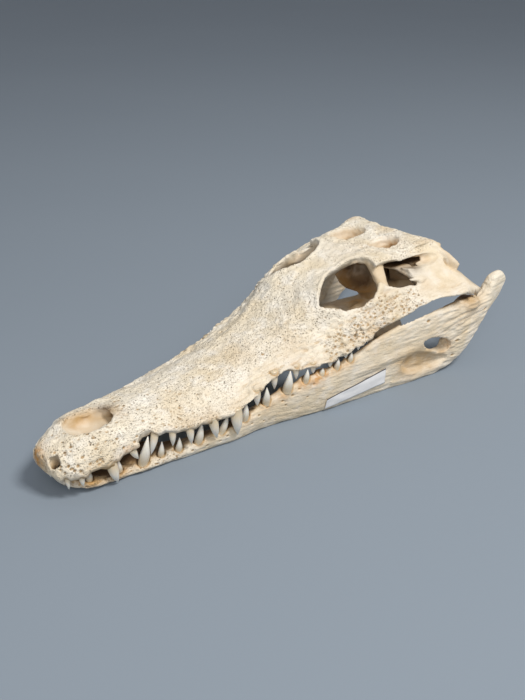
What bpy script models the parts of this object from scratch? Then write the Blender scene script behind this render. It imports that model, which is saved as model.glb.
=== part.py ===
"""Skull of a young crocodile with its jaws closed, at life size.

The skull lies along Y with its snout towards -Y, its left side towards +X, and
its lower jaws on Z = 0. Shapes are worked out in millimetres in the skull's own
frame: x from the midline, s back from the tip of the snout, and z up.
"""

import math

import bmesh
import bpy
import numpy as np
from mathutils import Vector
from mathutils.bvhtree import BVHTree

MM = 0.001
SNOUT_TIP = -146.2          # where s = 0 lies along Y
PREMAXILLA_LENGTH = 26.0    # from the tip to the widest part of the premaxilla
PREMAXILLA_HALF_WIDTH = 20.8
TABLE_END = 250.0           # the rear edge of the skull table
TABLE_THICKNESS = 5.0
ROOF_THICKNESS = 4.5
VOXEL = 1.1                 # grain at which joined bones are fused
CRANIUM_TRIANGLES = 3650
JAW_TRIANGLES = 900
SECTION_POINTS = 14         # points on half a cross-section
STATION_STEP = 4.0          # distance between cross-sections
BEAM_SIDES = 12
BEAM_STEP = 3.0
TOOTH_SIDES = 6
ROOT_DEPTH = 2.2            # how deep a tooth reaches into its jaw
NOSE_SETBACK = 0.8          # where the bone of the snout tip begins
TAG_THICKNESS = 0.5
TAG_CLEARANCE = 0.45

BONE = (0.86, 0.80, 0.68)
PAPER = (0.90, 0.90, 0.90)


def guide(*stations):
    """A smooth function through (place, value) stations that never overshoots them."""
    place, value = (np.array(column, float) for column in zip(*stations))
    step = np.diff(place)
    rise = np.diff(value) / step
    slope = np.concatenate([rise[:1], np.zeros(len(rise) - 1), rise[-1:]])
    for i in range(1, len(rise)):
        if rise[i - 1] * rise[i] > 0:
            slope[i] = 2 * rise[i - 1] * rise[i] / (rise[i - 1] + rise[i])

    def at(s):
        i = np.clip(np.searchsorted(place, s) - 1, 0, len(step) - 1)
        t = np.clip((s - place[i]) / step[i], 0, 1)
        start = value[i] + t * step[i] * slope[i]
        end = value[i + 1] - (1 - t) * step[i] * slope[i + 1]
        blend = t * t * (3 - 2 * t)
        return start * (1 - blend) + end * blend

    return at


def nose_round(s, length=PREMAXILLA_LENGTH, blunt=2.4):
    """How much of its full width the blunt front of the snout has at s."""
    t = np.clip((s - NOSE_SETBACK) / length, 0, 1)
    return (1 - (1 - t) ** blunt) ** (1 / blunt)


# Outlines of the cranium: half width, lower margin, midline of the roof and palate.
WIDTH_BEHIND_NOSE = guide((26, 20.6), (36, 20.3), (46, 21.2), (56, 24.2), (70, 27.6), (83, 30.0),
                          (96, 32.2), (111, 31.2), (124, 30.6), (136, 34.4), (146, 38), (156, 40.8),
                          (166, 43.2), (193, 48), (207, 50.6), (225, 55), (256, 60.5))
MARGIN = guide((0, 15), (3, 12.4), (8, 11.6), (12, 11.4), (16, 12.4), (20, 13.2), (27, 11.6), (34, 14),
               (46, 17.5), (54, 20.5), (64, 19), (74, 18.2), (92, 18.7), (102, 21), (113, 25.4),
               (125, 29.7), (131, 31), (140, 30), (150, 30.5), (167, 34.2), (178, 38.3),
               (185, 41.8), (206, 46.5), (217, 50.5), (226, 52), (236, 50.8), (256, 47.3))
ROOF = guide((0, 20), (3, 23.4), (10, 26.2), (25, 29.6), (60, 30), (90, 33), (120, 39.5), (150, 51),
             (165, 59.2), (188, 68.6), (202, 72.2), (215, 72.8), (250, 73.5))
PALATE = guide((0, 14), (5.5, 14.4), (12, 17), (32, 17.5), (46, 22), (70, 22.5), (100, 25),
               (130, 32), (160, 36), (200, 46), (250, 52))
# Height of the roof at the inner and outer thirds of the half width, and of the widest
# point, as a share of the height from margin to roof.
INNER_HEIGHT = guide((0, 0.94), (30, 0.96), (60, 0.86), (130, 0.86), (150, 0.93), (165, 1.03), (188, 0.96),
                     (205, 1.0), (256, 1.0))
OUTER_HEIGHT = guide((0, 0.62), (15, 0.64), (28, 0.82), (40, 0.82), (52, 0.62), (62, 0.5), (80, 0.43),
                     (130, 0.4), (165, 0.44), (188, 0.54),
                     (200, 0.45), (210, 0.36), (218, 0.31), (228, 0.33), (256, 0.4))
SIDE_HEIGHT = guide((0, 0.3), (60, 0.28), (100, 0.2), (130, 0.1), (165, 0.1), (190, 0.12),
                    (205, 0.08), (225, 0.06), (256, 0.2))
INNER_PLACE = 0.45
OUTER_PLACE = 0.80


def half_width(s):
    if s < PREMAXILLA_LENGTH:
        return max(PREMAXILLA_HALF_WIDTH * nose_round(s), 1.0)
    return float(WIDTH_BEHIND_NOSE(s))


def spline(points, count):
    """A smooth open run of points through the given ones."""
    points = np.array(points, float)
    ends = np.vstack([2 * points[0] - points[1], points, 2 * points[-1] - points[-2]])
    result = []
    for u in np.linspace(0, len(points) - 1, count):
        i = min(int(u), len(points) - 2)
        t = u - i
        a, b, c, d = ends[i:i + 4]
        result.append(0.5 * (2 * b + (c - a) * t + (2 * a - 5 * b + 4 * c - d) * t * t
                             + (3 * b - 3 * c + d - a) * t ** 3))
    return np.array(result)


def closed_spline(points, count):
    """A smooth closed loop through the given points."""
    points = np.array(points, float)
    n = len(points)
    result = []
    for u in np.arange(count) * n / count:
        i = int(u)
        t = u - i
        a, b, c, d = (points[(i + k) % n] for k in (-1, 0, 1, 2))
        result.append(0.5 * (2 * b + (c - a) * t + (2 * a - 5 * b + 4 * c - d) * t * t
                             + (3 * b - 3 * c + d - a) * t ** 3))
    return np.array(result)


def roof_line(s):
    """Half cross-section of the cranium's outside at s, from midline to margin."""
    w, margin, top = half_width(s), float(MARGIN(s)), float(ROOF(s))
    height = max(top - margin, 1.0)
    corners = [(0, top),
               (INNER_PLACE * w, margin + INNER_HEIGHT(s) * height),
               (OUTER_PLACE * w, margin + OUTER_HEIGHT(s) * height),
               (w, margin + SIDE_HEIGHT(s) * height),
               (w - 1.0, margin)]
    line = spline(corners, SECTION_POINTS)
    line[:, 0] = np.maximum(line[:, 0], 0)
    return line


def both_sides(half, s):
    """A closed ring in skull coordinates from the left half of a cross-section."""
    left = [(x, s, z) for x, z in half]
    right = [(-x, s, z) for x, z in reversed(half) if abs(x) > 0.2]
    return left + right


def cranium_ring(s):
    """The outside of the snout and face: roof, margin, tooth ridge and palate."""
    roof = [tuple(p) for p in roof_line(s)]
    w, margin, palate = half_width(s), float(MARGIN(s)), float(PALATE(s))
    palate = max(palate, margin + 0.5)
    ridge = max(w - 7.0, 0.6 * w)
    under = [(ridge + 0.4 * (w - ridge), margin - 0.2), (ridge, margin + 1.0),
             (0.5 * ridge, palate), (0.0, palate)]
    return both_sides(roof + under, s)


def place(point):
    """A point in skull coordinates and millimetres as metres in the part's frame."""
    x, s, z = point
    return Vector((x * MM, (s + SNOUT_TIP) * MM, z * MM))


def loft(bm, rings):
    """Add a closed solid to bm by extruding one cross-section into the next."""
    first = bm.faces.new([bm.verts.new(place(point)) for point in rings[0]])
    cap = first
    for ring in rings[1:]:
        grown = bmesh.ops.extrude_face_region(bm, geom=[cap])["geom"]
        if cap is not first:
            bmesh.ops.delete(bm, geom=[cap], context="FACES_ONLY")
        cap = next(item for item in grown if isinstance(item, bmesh.types.BMFace))
        for vert, point in zip(cap.verts, ring):
            vert.co = place(point)
    bmesh.ops.triangulate(bm, faces=[first, cap])


def beam(bm, path, half, up=(0, 0, 1), power=2.4, sides=BEAM_SIDES, count=0):
    """A bar along a smooth path; half gives its half width and half height at each point."""
    path, half = np.array(path, float), np.array(half, float)
    length = np.linalg.norm(np.diff(path, axis=0), axis=1).sum()
    count = count or max(int(length / BEAM_STEP), len(path) + 2)
    middle, size = spline(path, count), spline(half, count)
    along = np.gradient(middle, axis=0)
    rings = []
    for centre, (a, b), ahead in zip(middle, size, along):
        side = np.cross(ahead, up)
        side /= np.linalg.norm(side)
        rise = np.cross(side, ahead)
        rise /= np.linalg.norm(rise)
        rings.append([centre + side * a * rounded(math.cos(t), power)
                      + rise * b * rounded(math.sin(t), power)
                      for t in np.linspace(0, 2 * math.pi, sides, endpoint=False)])
    loft(bm, rings)


def rounded(value, power):
    """A signed root, which squares off an ellipse."""
    return math.copysign(abs(value) ** (2 / power), value)


def mirrored(points):
    return [(-x, s, z) for x, s, z in points]


def pair(bm, path, half, up=(0, 0, 1), **options):
    """The same bar on the left and on the right side."""
    beam(bm, path, half, up=up, **options)
    beam(bm, mirrored(path), half, up=(-up[0], up[1], up[2]), **options)


def make_object(name, bm):
    bmesh.ops.recalc_face_normals(bm, faces=bm.faces)
    mesh = bpy.data.meshes.new(name)
    bm.to_mesh(mesh)
    bm.free()
    obj = bpy.data.objects.new(name, mesh)
    bpy.context.scene.collection.objects.link(obj)
    return obj


def modified_mesh(obj):
    """The mesh of obj with its modifiers worked in."""
    bpy.context.view_layer.update()
    graph = bpy.context.evaluated_depsgraph_get()
    return bpy.data.meshes.new_from_object(obj.evaluated_get(graph))


def work_in(obj):
    """Replace obj's mesh by its modified one."""
    mesh = modified_mesh(obj)
    obj.modifiers.clear()
    obj.data = mesh


def guide_object(name, bm):
    """A solid that only cuts or feeds another one."""
    obj = make_object(name, bm)
    obj.hide_render = True
    obj.display_type = "WIRE"
    return obj


def cut(obj, cutter, operation="DIFFERENCE"):
    boolean = obj.modifiers.new("cut", "BOOLEAN")
    boolean.solver = "EXACT"
    boolean.operation = operation
    boolean.object = cutter


def stations(start, end):
    """Places from start to end, about a station step apart."""
    return np.linspace(start, end, max(int((end - start) / STATION_STEP), 2))


def face_shell():
    """The snout, face and temples as one solid, before any opening is cut."""
    bm = bmesh.new()
    nose = [0.95, 1.6, 2.6, 4.2, 6.2, 9.0, 12.0, 16.0, 20.0]
    places = nose + list(stations(24.0, TABLE_END - 2))
    loft(bm, [cranium_ring(s) for s in places])
    return make_object("face_shell", bm)


# Half width of the skull table, and how far its rear rises at its corners and middle.
TABLE_START = 201.5
TABLE_HALF = guide((201.5, 15.5), (204, 20), (208, 24.2), (222, 27), (240, 29.5), (250, 30.5))
CORNER_RISE = guide((201.5, 0), (226, 0), (240, 2.3), (246.5, 1.7), (250, 0.5))
MIDDLE_RISE = guide((201.5, 0), (226, 0), (242, 1.4), (250, 0.4))
CHAMBER_START = 156.0
CHAMBER_END = 249.0
WALL = guide((156, 11), (170, 7.5), (185, 5), (249, 5))
CHAMBER_TOP = guide((156, 42), (163, 62), (172, 70), (222, 72), (236, 60), (249, 42))


def jaw_muscle_chamber():
    """The space behind and below the eyes, open below, with the roof and cheeks left round it."""
    bm = bmesh.new()
    rings = []
    for s in stations(CHAMBER_START, CHAMBER_END):
        w, margin, roof = half_width(s), float(MARGIN(s)), float(ROOF(s))
        reach, top = w - float(WALL(s)), float(CHAMBER_TOP(s))
        inner = margin + INNER_HEIGHT(s) * (roof - margin) - ROOF_THICKNESS
        outer = margin + OUTER_HEIGHT(s) * (roof - margin) - 0.8 * ROOF_THICKNESS
        line = [(0, roof - ROOF_THICKNESS), (INNER_PLACE * w, inner),
                (min(OUTER_PLACE * w - 0.5 * ROOF_THICKNESS, 0.9 * reach), outer), (reach, margin)]
        half = [(x, min(z, top - 0.05 * x)) for x, z in spline(line, SECTION_POINTS)]
        half += [(reach, -5.0), (0.5 * reach, -5.0), (0.0, -5.0)]
        rings.append(both_sides(half, s))
    loft(bm, rings)
    return guide_object("chamber_cutter", bm)


def prism(bm, outline, direction, inner, outer):
    """A cutter through a smooth outline, from inner to outer along a direction."""
    ring = closed_spline(outline, 24)
    direction = np.array(direction, float)
    loft(bm, [ring + direction * inner, ring + direction * outer])


def pair_prism(bm, outline, direction, inner, outer):
    prism(bm, outline, direction, inner, outer)
    prism(bm, mirrored(outline), (-direction[0], direction[1], direction[2]), inner, outer)


ORBIT = [(20.3, 162.9, 60), (23.8, 162.5, 60), (28.5, 168, 60), (33.5, 176, 60), (36.8, 184.5, 60),
         (37.2, 190, 60), (36, 194.5, 60), (31, 200.5, 60), (22.8, 203, 60), (16.1, 200.6, 60),
         (12.4, 194.5, 60), (10.4, 187.5, 60), (10.1, 181, 60), (13, 173.8, 60), (16.8, 167.6, 60)]
CHEEK_WINDOW = [(36, 203.2, 59.5), (39, 209.6, 58.1), (40.5, 216.5, 57.4), (42.5, 224, 56.8),
                (41, 222, 60.5), (36, 220.5, 62.8), (30, 219.5, 65.8), (26, 216.5, 67.5),
                (24.5, 209, 67.5), (25, 202, 67), (31, 197.5, 64), (34, 199.5, 61.5)]
# The windows in the skull table are funnels: how far out and back their middle lies, and
# how wide and how long they are, at each height.
FUNNEL_OUT = guide((48, 15.8), (59, 15.4), (63.5, 14.8), (68, 14.4), (74, 14.2), (79, 14.2))
FUNNEL_BACK = guide((48, 229.5), (59, 228), (63.5, 225.5), (68, 223.2), (74, 221.7), (79, 221.5))
FUNNEL_WIDE = guide((48, 2.8), (59, 3.6), (63.5, 5.0), (68, 6.6), (71.5, 7.6), (74.2, 8.4), (79, 10))
FUNNEL_LONG = guide((48, 3.0), (59, 4.2), (63.5, 6.4), (68, 8.8), (71.5, 10.2), (74.2, 11.2), (79, 13))
FUNNEL_TOP = 79.0           # heights between which the windows are cut
FUNNEL_BOTTOM = 48.0
FUNNEL_WALL = 1.7           # thickness of the bone round them


def eye_sockets():
    bm = bmesh.new()
    pair_prism(bm, ORBIT, (0, 0, 1), -14, 30)
    return guide_object("eye_cutter", bm)


def cheek_windows():
    bm = bmesh.new()
    pair_prism(bm, CHEEK_WINDOW, (0.7, 0, 0.7), -14, 14)
    return guide_object("cheek_cutter", bm)


def funnel(bm, extra, top, bottom):
    """The funnel of each window in the table, or with extra the bone round it."""
    for side, shift, back, share in ((1, -3.2, 4.4, 0.92), (-1, 0.6, 0.8, 1.14)):
        rings = []
        for z in np.linspace(top, bottom, 9):
            across, lengthwise = share * FUNNEL_WIDE(z) + extra, share * FUNNEL_LONG(z) + extra
            rings.append([(side * (FUNNEL_OUT(z) + shift + across * rounded(math.cos(t), 2.3)),
                           FUNNEL_BACK(z) + back + lengthwise * rounded(math.sin(t), 2.3), z)
                          for t in np.linspace(0, 2 * math.pi, 20, endpoint=False)])
        loft(bm, rings)


def roof_windows():
    bm = bmesh.new()
    funnel(bm, 0.0, FUNNEL_TOP, FUNNEL_BOTTOM)
    return guide_object("roof_cutter", bm)


def palate_windows():
    """The long openings between the palate's middle bar and the tooth rows."""
    bm = bmesh.new()
    outline = [(12, 140, 30), (20, 138, 30), (28, 148, 30), (32, 165, 30), (12, 170, 30), (9.5, 155, 30)]
    pair_prism(bm, outline, (0, 0, 1), -20, 8)
    return guide_object("palate_cutter", bm)


def nostril():
    """The basin of the nostrils, which runs back under the snout roof."""
    bm = bmesh.new()
    beam(bm, [(0, 17.3, 33), (0, 21, 31), (0, 28, 29.8), (0, 34.5, 30), (0, 39.5, 28.5)],
         [(4.5, 3.5), (8.4, 6.5), (10.2, 7.8), (9.4, 7.0), (5.4, 3.4)], power=3.6, sides=16)
    return guide_object("nostril_cutter", bm)


def nose_passage():
    """The passage that leads from the basin back into the snout."""
    bm = bmesh.new()
    beam(bm, [(0, 31, 25.8), (0, 38, 26.4), (0, 50, 25.2)], [(6.6, 2.4), (6.4, 2.9), (4, 2)])
    return guide_object("passage_cutter", bm)


def nose_holes():
    """Holes in front of the nostrils, where the first lower teeth fit."""
    bm = bmesh.new()
    pair(bm, [(8.2, 8.6, 11), (8.2, 6.2, 17), (8.0, 3.8, 22)], [(3.2, 2.6)] * 3, up=(1, 0, 0), sides=10)
    return guide_object("nose_hole_cutter", bm)


def ear_grooves():
    """The groove under the edge of the skull table, in front of the ear."""
    bm = bmesh.new()
    pair(bm, [(29, 212, 67.5), (33, 226, 67), (36, 238, 67.5), (38, 245, 68.5)],
         [(3, 1.5), (5, 2.6), (5, 2.8), (3, 2)])
    return guide_object("ear_cutter", bm)


def tooth_niches():
    """The notch behind the premaxilla on each side, where the large lower tooth stands."""
    bm = bmesh.new()
    pair(bm, [(23, 46.8, 8), (22.6, 47, 16), (22.2, 47.2, 21.5), (22.2, 47.2, 24)],
         [(5.2, 5.2), (5, 5), (4.6, 4.6), (2, 2)], up=(0, 1, 0), power=2)
    return guide_object("niche_cutter", bm)


def skull_table(bm):
    """The flat roof over the braincase, wider at the back, with raised rear corners."""
    rings = []
    for share in np.linspace(0, 1, 14):
        s = TABLE_START + share * (TABLE_END - TABLE_START)
        w, top = float(TABLE_HALF(s)), float(ROOF(s)) + 0.3
        low = top - TABLE_THICKNESS
        corner, middle = float(CORNER_RISE(s)), float(MIDDLE_RISE(s))
        edge = [(0, top + 0.5), (0.35 * w, top + 0.4), (0.7 * w, top + 0.2), (0.93 * w, top),
                (w, top - 1.5), (w, low + 1.2), (0.93 * w, low), (0.5 * w, low), (0, low)]
        edge = [(x, z + middle + (corner - middle) * min(x / w, 1) ** 4) for x, z in edge]
        rings.append([(x, s + share ** 4 * (-4.5 + 6 * (x / 31) ** 2), z)
                      for x, s, z in both_sides(edge, s)])
    loft(bm, rings)


def braincase(bm):
    """The block that held the brain, with the neck joint on its back."""
    beam(bm, [(0, 206, 60), (0, 216, 57), (0, 230, 56), (0, 248, 58)],
         [(7, 8), (11, 14), (13, 16), (16, 14)], power=3)
    beam(bm, [(0, 224, 44), (0, 238, 44), (0, 249, 44)], [(7, 9), (9, 10), (10, 9)])
    beam(bm, [(0, 244, 49), (0, 252, 49), (0, 257, 48)], [(6, 5), (5.5, 4.8), (3, 2.5)])


def back_wings(bm):
    """The back wall and its wings, from the braincase out to the ear region."""
    pair(bm, [(2, 247, 62), (16, 248, 63), (30, 249, 64), (39, 252, 62.5), (45, 254.5, 60)],
         [(3, 10), (3, 9), (3.2, 8), (3, 5), (2, 2.6)])
    pair(bm, [(24, 244, 70.5), (30, 249, 70.5), (33, 251.5, 70)], [(4, 2.6), (3.5, 2.6), (2, 2)])


def quadrates(bm):
    """The struts that carry the jaw joints."""
    pair(bm, [(14, 232, 56), (28, 240, 58), (40, 247, 56), (49, 253, 51.5), (53.5, 259, 48)],
         [(8, 6), (9, 5.5), (9.5, 5), (9, 4.6), (7.5, 3.4)])
    pair(bm, [(10, 236, 44), (24, 240, 50), (38, 247, 52)], [(4, 7), (4, 6), (4, 4)])
    pair(bm, [(10, 229, 60), (20, 226, 62), (27, 224.5, 63.3), (33, 224.5, 62.2), (39, 225, 61),
              (43, 226, 59)], [(6, 3), (6, 1.6), (5.5, 1.3), (5, 1.3), (4.5, 1.4), (4, 2)])


def cheek_flanges(bm):
    """The inner flange of each cheek bar, below the eye."""
    pair(bm, [(41, 176, 43), (43, 190, 46), (45, 203, 48.5), (46.5, 212, 51)],
         [(3, 3.5), (3, 3.5), (2.6, 3), (2, 2.5)])


def eye_bars(bm):
    """The bars behind the eyes and the pillars in front of them."""
    pair(bm, [(20, 207.4, 69.6), (24, 206.8, 64.5), (31, 203.5, 58.3), (38.5, 199.5, 54), (43, 197.5, 50)],
         [(5.4, 3.4), (4.2, 2.8), (3.3, 2.6), (3.7, 2.9), (4.2, 2.8)])
    pair(bm, [(13, 163, 58), (10, 166, 48), (8, 168, 36)], [(3, 5), (2.2, 3.5), (2.5, 5)], up=(0, 1, 0))


def palate_bars(bm):
    """The middle bar of the palate, its rear wings, and the struts out to the cheeks."""
    beam(bm, [(0, 128, 31), (0, 150, 32), (0, 180, 32), (0, 202, 32)],
         [(12, 4), (8, 4.5), (7, 4.5), (10, 4)], power=3)
    wing_middle = guide((0, 219), (12, 217), (25, 216), (36, 214))
    wing_reach = guide((0, 22), (12, 20), (25, 16), (36, 9))
    wing_height = guide((0, 32), (12, 29), (25, 23), (36, 16))
    wing_thickness = guide((0, 3.2), (12, 1.8), (25, 1.8), (36, 3))
    for side in (1, -1):
        rings = []
        for x in np.linspace(0, 36, 10):
            middle, reach = float(wing_middle(x)), float(wing_reach(x))
            height, thick = float(wing_height(x)), float(wing_thickness(x))
            rings.append([(side * x, middle + reach * math.cos(t), height + thick * math.sin(t))
                          for t in np.linspace(0, 2 * math.pi, 16, endpoint=False)])
        loft(bm, rings)
    pair(bm, [(39, 172, 42), (38.3, 184, 41.5), (35, 198, 33), (31.5, 209, 22)],
         [(3, 4), (2.4, 4), (2.3, 4), (3, 5)])
    beam(bm, [(0, 225, 30), (0, 238, 34), (0, 247, 38)], [(10, 4), (9, 5), (9, 5)])


def cranium_body():
    """All bones of the cranium fused into one body, without its teeth."""
    shell = face_shell()
    cutters = [jaw_muscle_chamber(), eye_sockets(), cheek_windows(), palate_windows(), nostril(),
               nose_passage(), nose_holes(), tooth_niches()]
    for cutter in cutters:
        cut(shell, cutter)
    work_in(shell)
    bm = bmesh.new()
    bm.from_mesh(shell.data)
    bpy.data.objects.remove(shell)
    skull_table(bm)
    braincase(bm)
    back_wings(bm)
    quadrates(bm)
    cheek_flanges(bm)
    eye_bars(bm)
    palate_bars(bm)
    funnel(bm, FUNNEL_WALL, 73.0, 56.0)
    body = make_object("cranium", bm)
    fuse(body)
    for cutter in (roof_windows(), ear_grooves()):
        cut(body, cutter)
    fuse(body)
    return body


def fuse(obj):
    """Merge the overlapping solids of obj into one skin."""
    remesh = obj.modifiers.new("fuse", "REMESH")
    remesh.mode = "VOXEL"
    remesh.voxel_size = VOXEL * MM
    work_in(obj)


def soften(obj, repeats):
    smooth = obj.modifiers.new("soften", "SMOOTH")
    smooth.factor = 0.5
    smooth.iterations = repeats


def thin_out(obj, triangles):
    """Bring the skin of obj down to about the given number of triangles."""
    obj.data.calc_loop_triangles()
    decimate = obj.modifiers.new("thin_out", "DECIMATE")
    decimate.ratio = triangles / len(obj.data.loop_triangles)
    decimate.use_collapse_triangulate = True


def tooth(bm, base, tip, radius, sides=TOOTH_SIDES):
    """A slightly curved cone whose root reaches into the jaw."""
    base, tip = np.array(base, float), np.array(tip, float)
    axis = tip - base
    root = base - axis / np.linalg.norm(axis) * ROOT_DEPTH
    bow = np.array([math.copysign(0.08, base[0]), -0.06, 0.0]) * np.linalg.norm(axis)
    path = [root, base + 0.4 * axis + bow, tip]
    size = [(radius * 1.05,) * 2, (radius * 0.82,) * 2, (0.3, 0.3)]
    beam(bm, path, size, up=(0, 1, 0), power=2, sides=sides, count=len(path))


FIRST_TOOTH = 4.0           # where the front tooth stands,
FIRST_TOOTH_X = 3.4         # and how far from the midline
# Place along the jaw, height of the crown, radius at its base, and how far back the tip
# leans, from the front tooth to the rear one.
UPPER_TEETH = [(FIRST_TOOTH, 3.5, 1.0, 0), (7.5, 6.6, 1.2, 0.1), (13.2, 5.8, 1.5, 0.3),
               (28.6, 11.4, 2.5, 2.6),
               (40.2, 7.8, 1.8, 3.5), (52.6, 11.2, 1.9, -3.2), (61, 9.2, 1.8, -0.2), (70, 10, 2.0, 0.8),
               (82.9, 11.6, 2.4, 2.3), (96.3, 14.4, 3.1, 0.8), (111, 9, 2.2, 0.6), (123.8, 9, 2.0, 0.5),
               (136, 6.8, 1.9, 0.4), (145.4, 5.2, 1.8, 0.4), (155.4, 4.8, 1.7, 0.4), (165, 4.4, 1.6, 0.4),
               (173.2, 4.1, 1.5, 0.3), (179.2, 3.8, 1.4, 0.3)]
LOWER_TEETH = [(10.8, 5, 1.6, 0.3), (18.5, 5, 1.6, 0.3), (34.3, 6.9, 1.7, -0.6), (46.6, 14.2, 2.6, 2.7),
               (56.8, 7.8, 1.7, 0.4), (66, 7, 1.8, 0.2), (76.7, 10.8, 2.2, 1.7), (90, 8.4, 2.0, 3.6),
               (104, 9.5, 2.1, 0.3), (117.5, 9, 2.1, -0.4), (130, 11, 2.6, 0.9), (141, 6.2, 1.8, 0.4),
               (151, 2.4, 1.7, 0.2), (160.5, 5, 1.7, 0.4), (169.2, 4.5, 1.6, 0.4)]
UPPER_TOOTH_INSET = 2.6
LOWER_TOOTH_INSET = 3.0


def upper_teeth():
    bm = bmesh.new()
    for side in (1, -1):
        for s, height, radius, lean in UPPER_TEETH:
            out = half_width(s) - UPPER_TOOTH_INSET if s > FIRST_TOOTH else FIRST_TOOTH_X
            x, z = side * out, float(MARGIN(s)) + 0.6
            tooth(bm, (x, s, z), (x, s + lean, z - height), radius)
    return guide_object("upper_teeth", bm)


# Outlines of a lower jaw: its outer and inner faces, its top and bottom edges, and how
# far its top leans out past its bottom.
JAW_OUTER = guide((8, 12.5), (15, 15.5), (25, 17), (38, 17.8), (46, 20.2), (54, 20.6), (66, 22.8),
                  (80, 25.6), (95, 28.2), (105, 29.3), (118, 31), (130, 33.8), (143, 37.2),
                  (155, 39.7), (175, 43.5), (200, 47.5), (220, 51.5), (240, 55.5),
                  (255, 58.5), (268, 57.5), (292, 55))
JAW_INNER = guide((7.4, 0.15), (52, 0.15), (60, 4.5), (70, 11), (80, 15), (95, 19), (118, 23), (143, 29),
                  (165, 34), (200, 41), (240, 47), (255, 46.5), (292, 49.5))
JAW_TOP = guide((7.4, 8), (10, 9), (18, 7.5), (32, 5.2), (41, 6), (61, 6.2), (72, 7), (83, 8.6), (96, 10),
                (111, 14.6), (125, 19.8), (136, 22.5), (148, 25.4), (161, 26.6), (171, 28.9), (181, 32.7),
                (198, 38), (212, 40.6), (243, 42.8), (254, 44), (260, 43.5), (267, 40.8), (271.5, 41.5),
                (276, 46), (281, 51.3), (286.5, 52.2), (292, 48))
JAW_BOTTOM = guide((7.4, 4), (10, 2.2), (16, 1), (28, 0), (45, -0.7), (225, -0.7), (238, 1), (246, 3.8),
                   (252, 7), (259, 12.5), (268, 20.5), (277, 28), (286, 34), (292, 43))
JAW_LEAN = guide((7.4, 0), (52, 0), (70, 0.8), (118, 1), (288, 0))
# Where the section is tallest, as a share of the way out from its inner face: the two
# jaws meet along a flat face up to the end of their joint.
JAW_CROWN = guide((7.4, 0.05), (50, 0.05), (66, 0.5), (292, 0.5))
JAW_START = 7.4
JAW_END = 292.0
JAW_FRONT_LENGTH = 13.0     # over which the front of the jaw rounds in


def jaw_half_width(s):
    return float(JAW_OUTER(s)) * nose_round(s - JAW_START + NOSE_SETBACK, JAW_FRONT_LENGTH)


def jaw_ring(s):
    outer, inner = jaw_half_width(s), float(JAW_INNER(s))
    top, bottom, lean = float(JAW_TOP(s)), float(JAW_BOTTOM(s)), float(JAW_LEAN(s))
    middle = inner + float(JAW_CROWN(s)) * (outer - inner)
    centre, rise = (top + bottom) / 2, (top - bottom) / 2
    ring = []
    for t in np.linspace(0, 2 * math.pi, 28, endpoint=False):
        v = rounded(math.sin(t), 2.8)
        out = rounded(math.cos(t), 2.8)
        reach = outer - middle if out > 0 else middle - inner
        x = middle + reach * out + lean * v
        ring.append((x, s, centre + rise * v))
    return ring


def jaw_window():
    """The oval window through the outer side of the lower jaw."""
    bm = bmesh.new()
    outline = [(53, 219.6, 25.2), (53, 224.5, 26.8), (53, 232.6, 25.2), (53, 238.8, 21.6), (53, 240.6, 18),
               (53, 238.2, 14.8), (53, 232.8, 15.6), (53, 226.2, 18.4), (53, 220.8, 22.2)]
    prism(bm, outline, (1, 0, 0), -8, 14)
    return guide_object("jaw_window_cutter", bm)


def jaw_fossa():
    """The trough inside the rear of the lower jaw, open inwards and upwards."""
    bm = bmesh.new()
    beam(bm, [(40, 196, 34), (42.5, 210, 28), (44.2, 226, 26), (45.8, 238, 30), (46.5, 247, 36)],
         [(3, 4), (4, 11), (4.5, 13), (4.4, 11), (3, 5)], power=3)
    return guide_object("jaw_fossa_cutter", bm)


def jaw_fossa_mouth():
    """The slot by which the trough in the lower jaw opens upwards."""
    bm = bmesh.new()
    beam(bm, [(45, 204, 42), (47.5, 222, 42), (49, 238, 43)], [(1.5, 6), (2, 12), (1.5, 8)])
    return guide_object("jaw_slot_cutter", bm)


def lower_teeth():
    bm = bmesh.new()
    for s, height, radius, lean in LOWER_TEETH:
        x = jaw_half_width(s) + float(JAW_LEAN(s)) - LOWER_TOOTH_INSET
        z = float(JAW_TOP(s)) - 0.6
        tooth(bm, (x, s, z), (x + 0.12 * height, s + lean, z + height), radius)
    return guide_object("lower_teeth", bm)


def jaw_joint(bm):
    """The widened socket of the jaw joint."""
    beam(bm, [(52.5, 250, 38), (52.5, 257, 39), (52, 263, 37.5)], [(5.5, 5), (6.8, 5), (5.5, 4)])


def jaw_body():
    """The left lower jaw as one body, without its teeth."""
    bm = bmesh.new()
    nose = [JAW_START + step for step in (0.1, 0.5, 1.2, 2.2, 3.6, 5.5)]
    loft(bm, [jaw_ring(s) for s in nose + list(stations(15.0, JAW_END))])
    shell = make_object("jaw_shell", bm)
    for cutter in (jaw_window(), jaw_fossa(), jaw_fossa_mouth()):
        cut(shell, cutter)
    work_in(shell)
    bm = bmesh.new()
    bm.from_mesh(shell.data)
    bpy.data.objects.remove(shell)
    jaw_joint(bm)
    body = make_object("mandible_left", bm)
    fuse(body)
    return body


def material(name, colour, roughness):
    finish = bpy.data.materials.new(name)
    finish.use_nodes = True
    shader = finish.node_tree.nodes["Principled BSDF"]
    shader.inputs["Base Color"].default_value = (*colour, 1)
    shader.inputs["Roughness"].default_value = roughness
    shader.inputs["Metallic"].default_value = 0.0
    return finish


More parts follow.
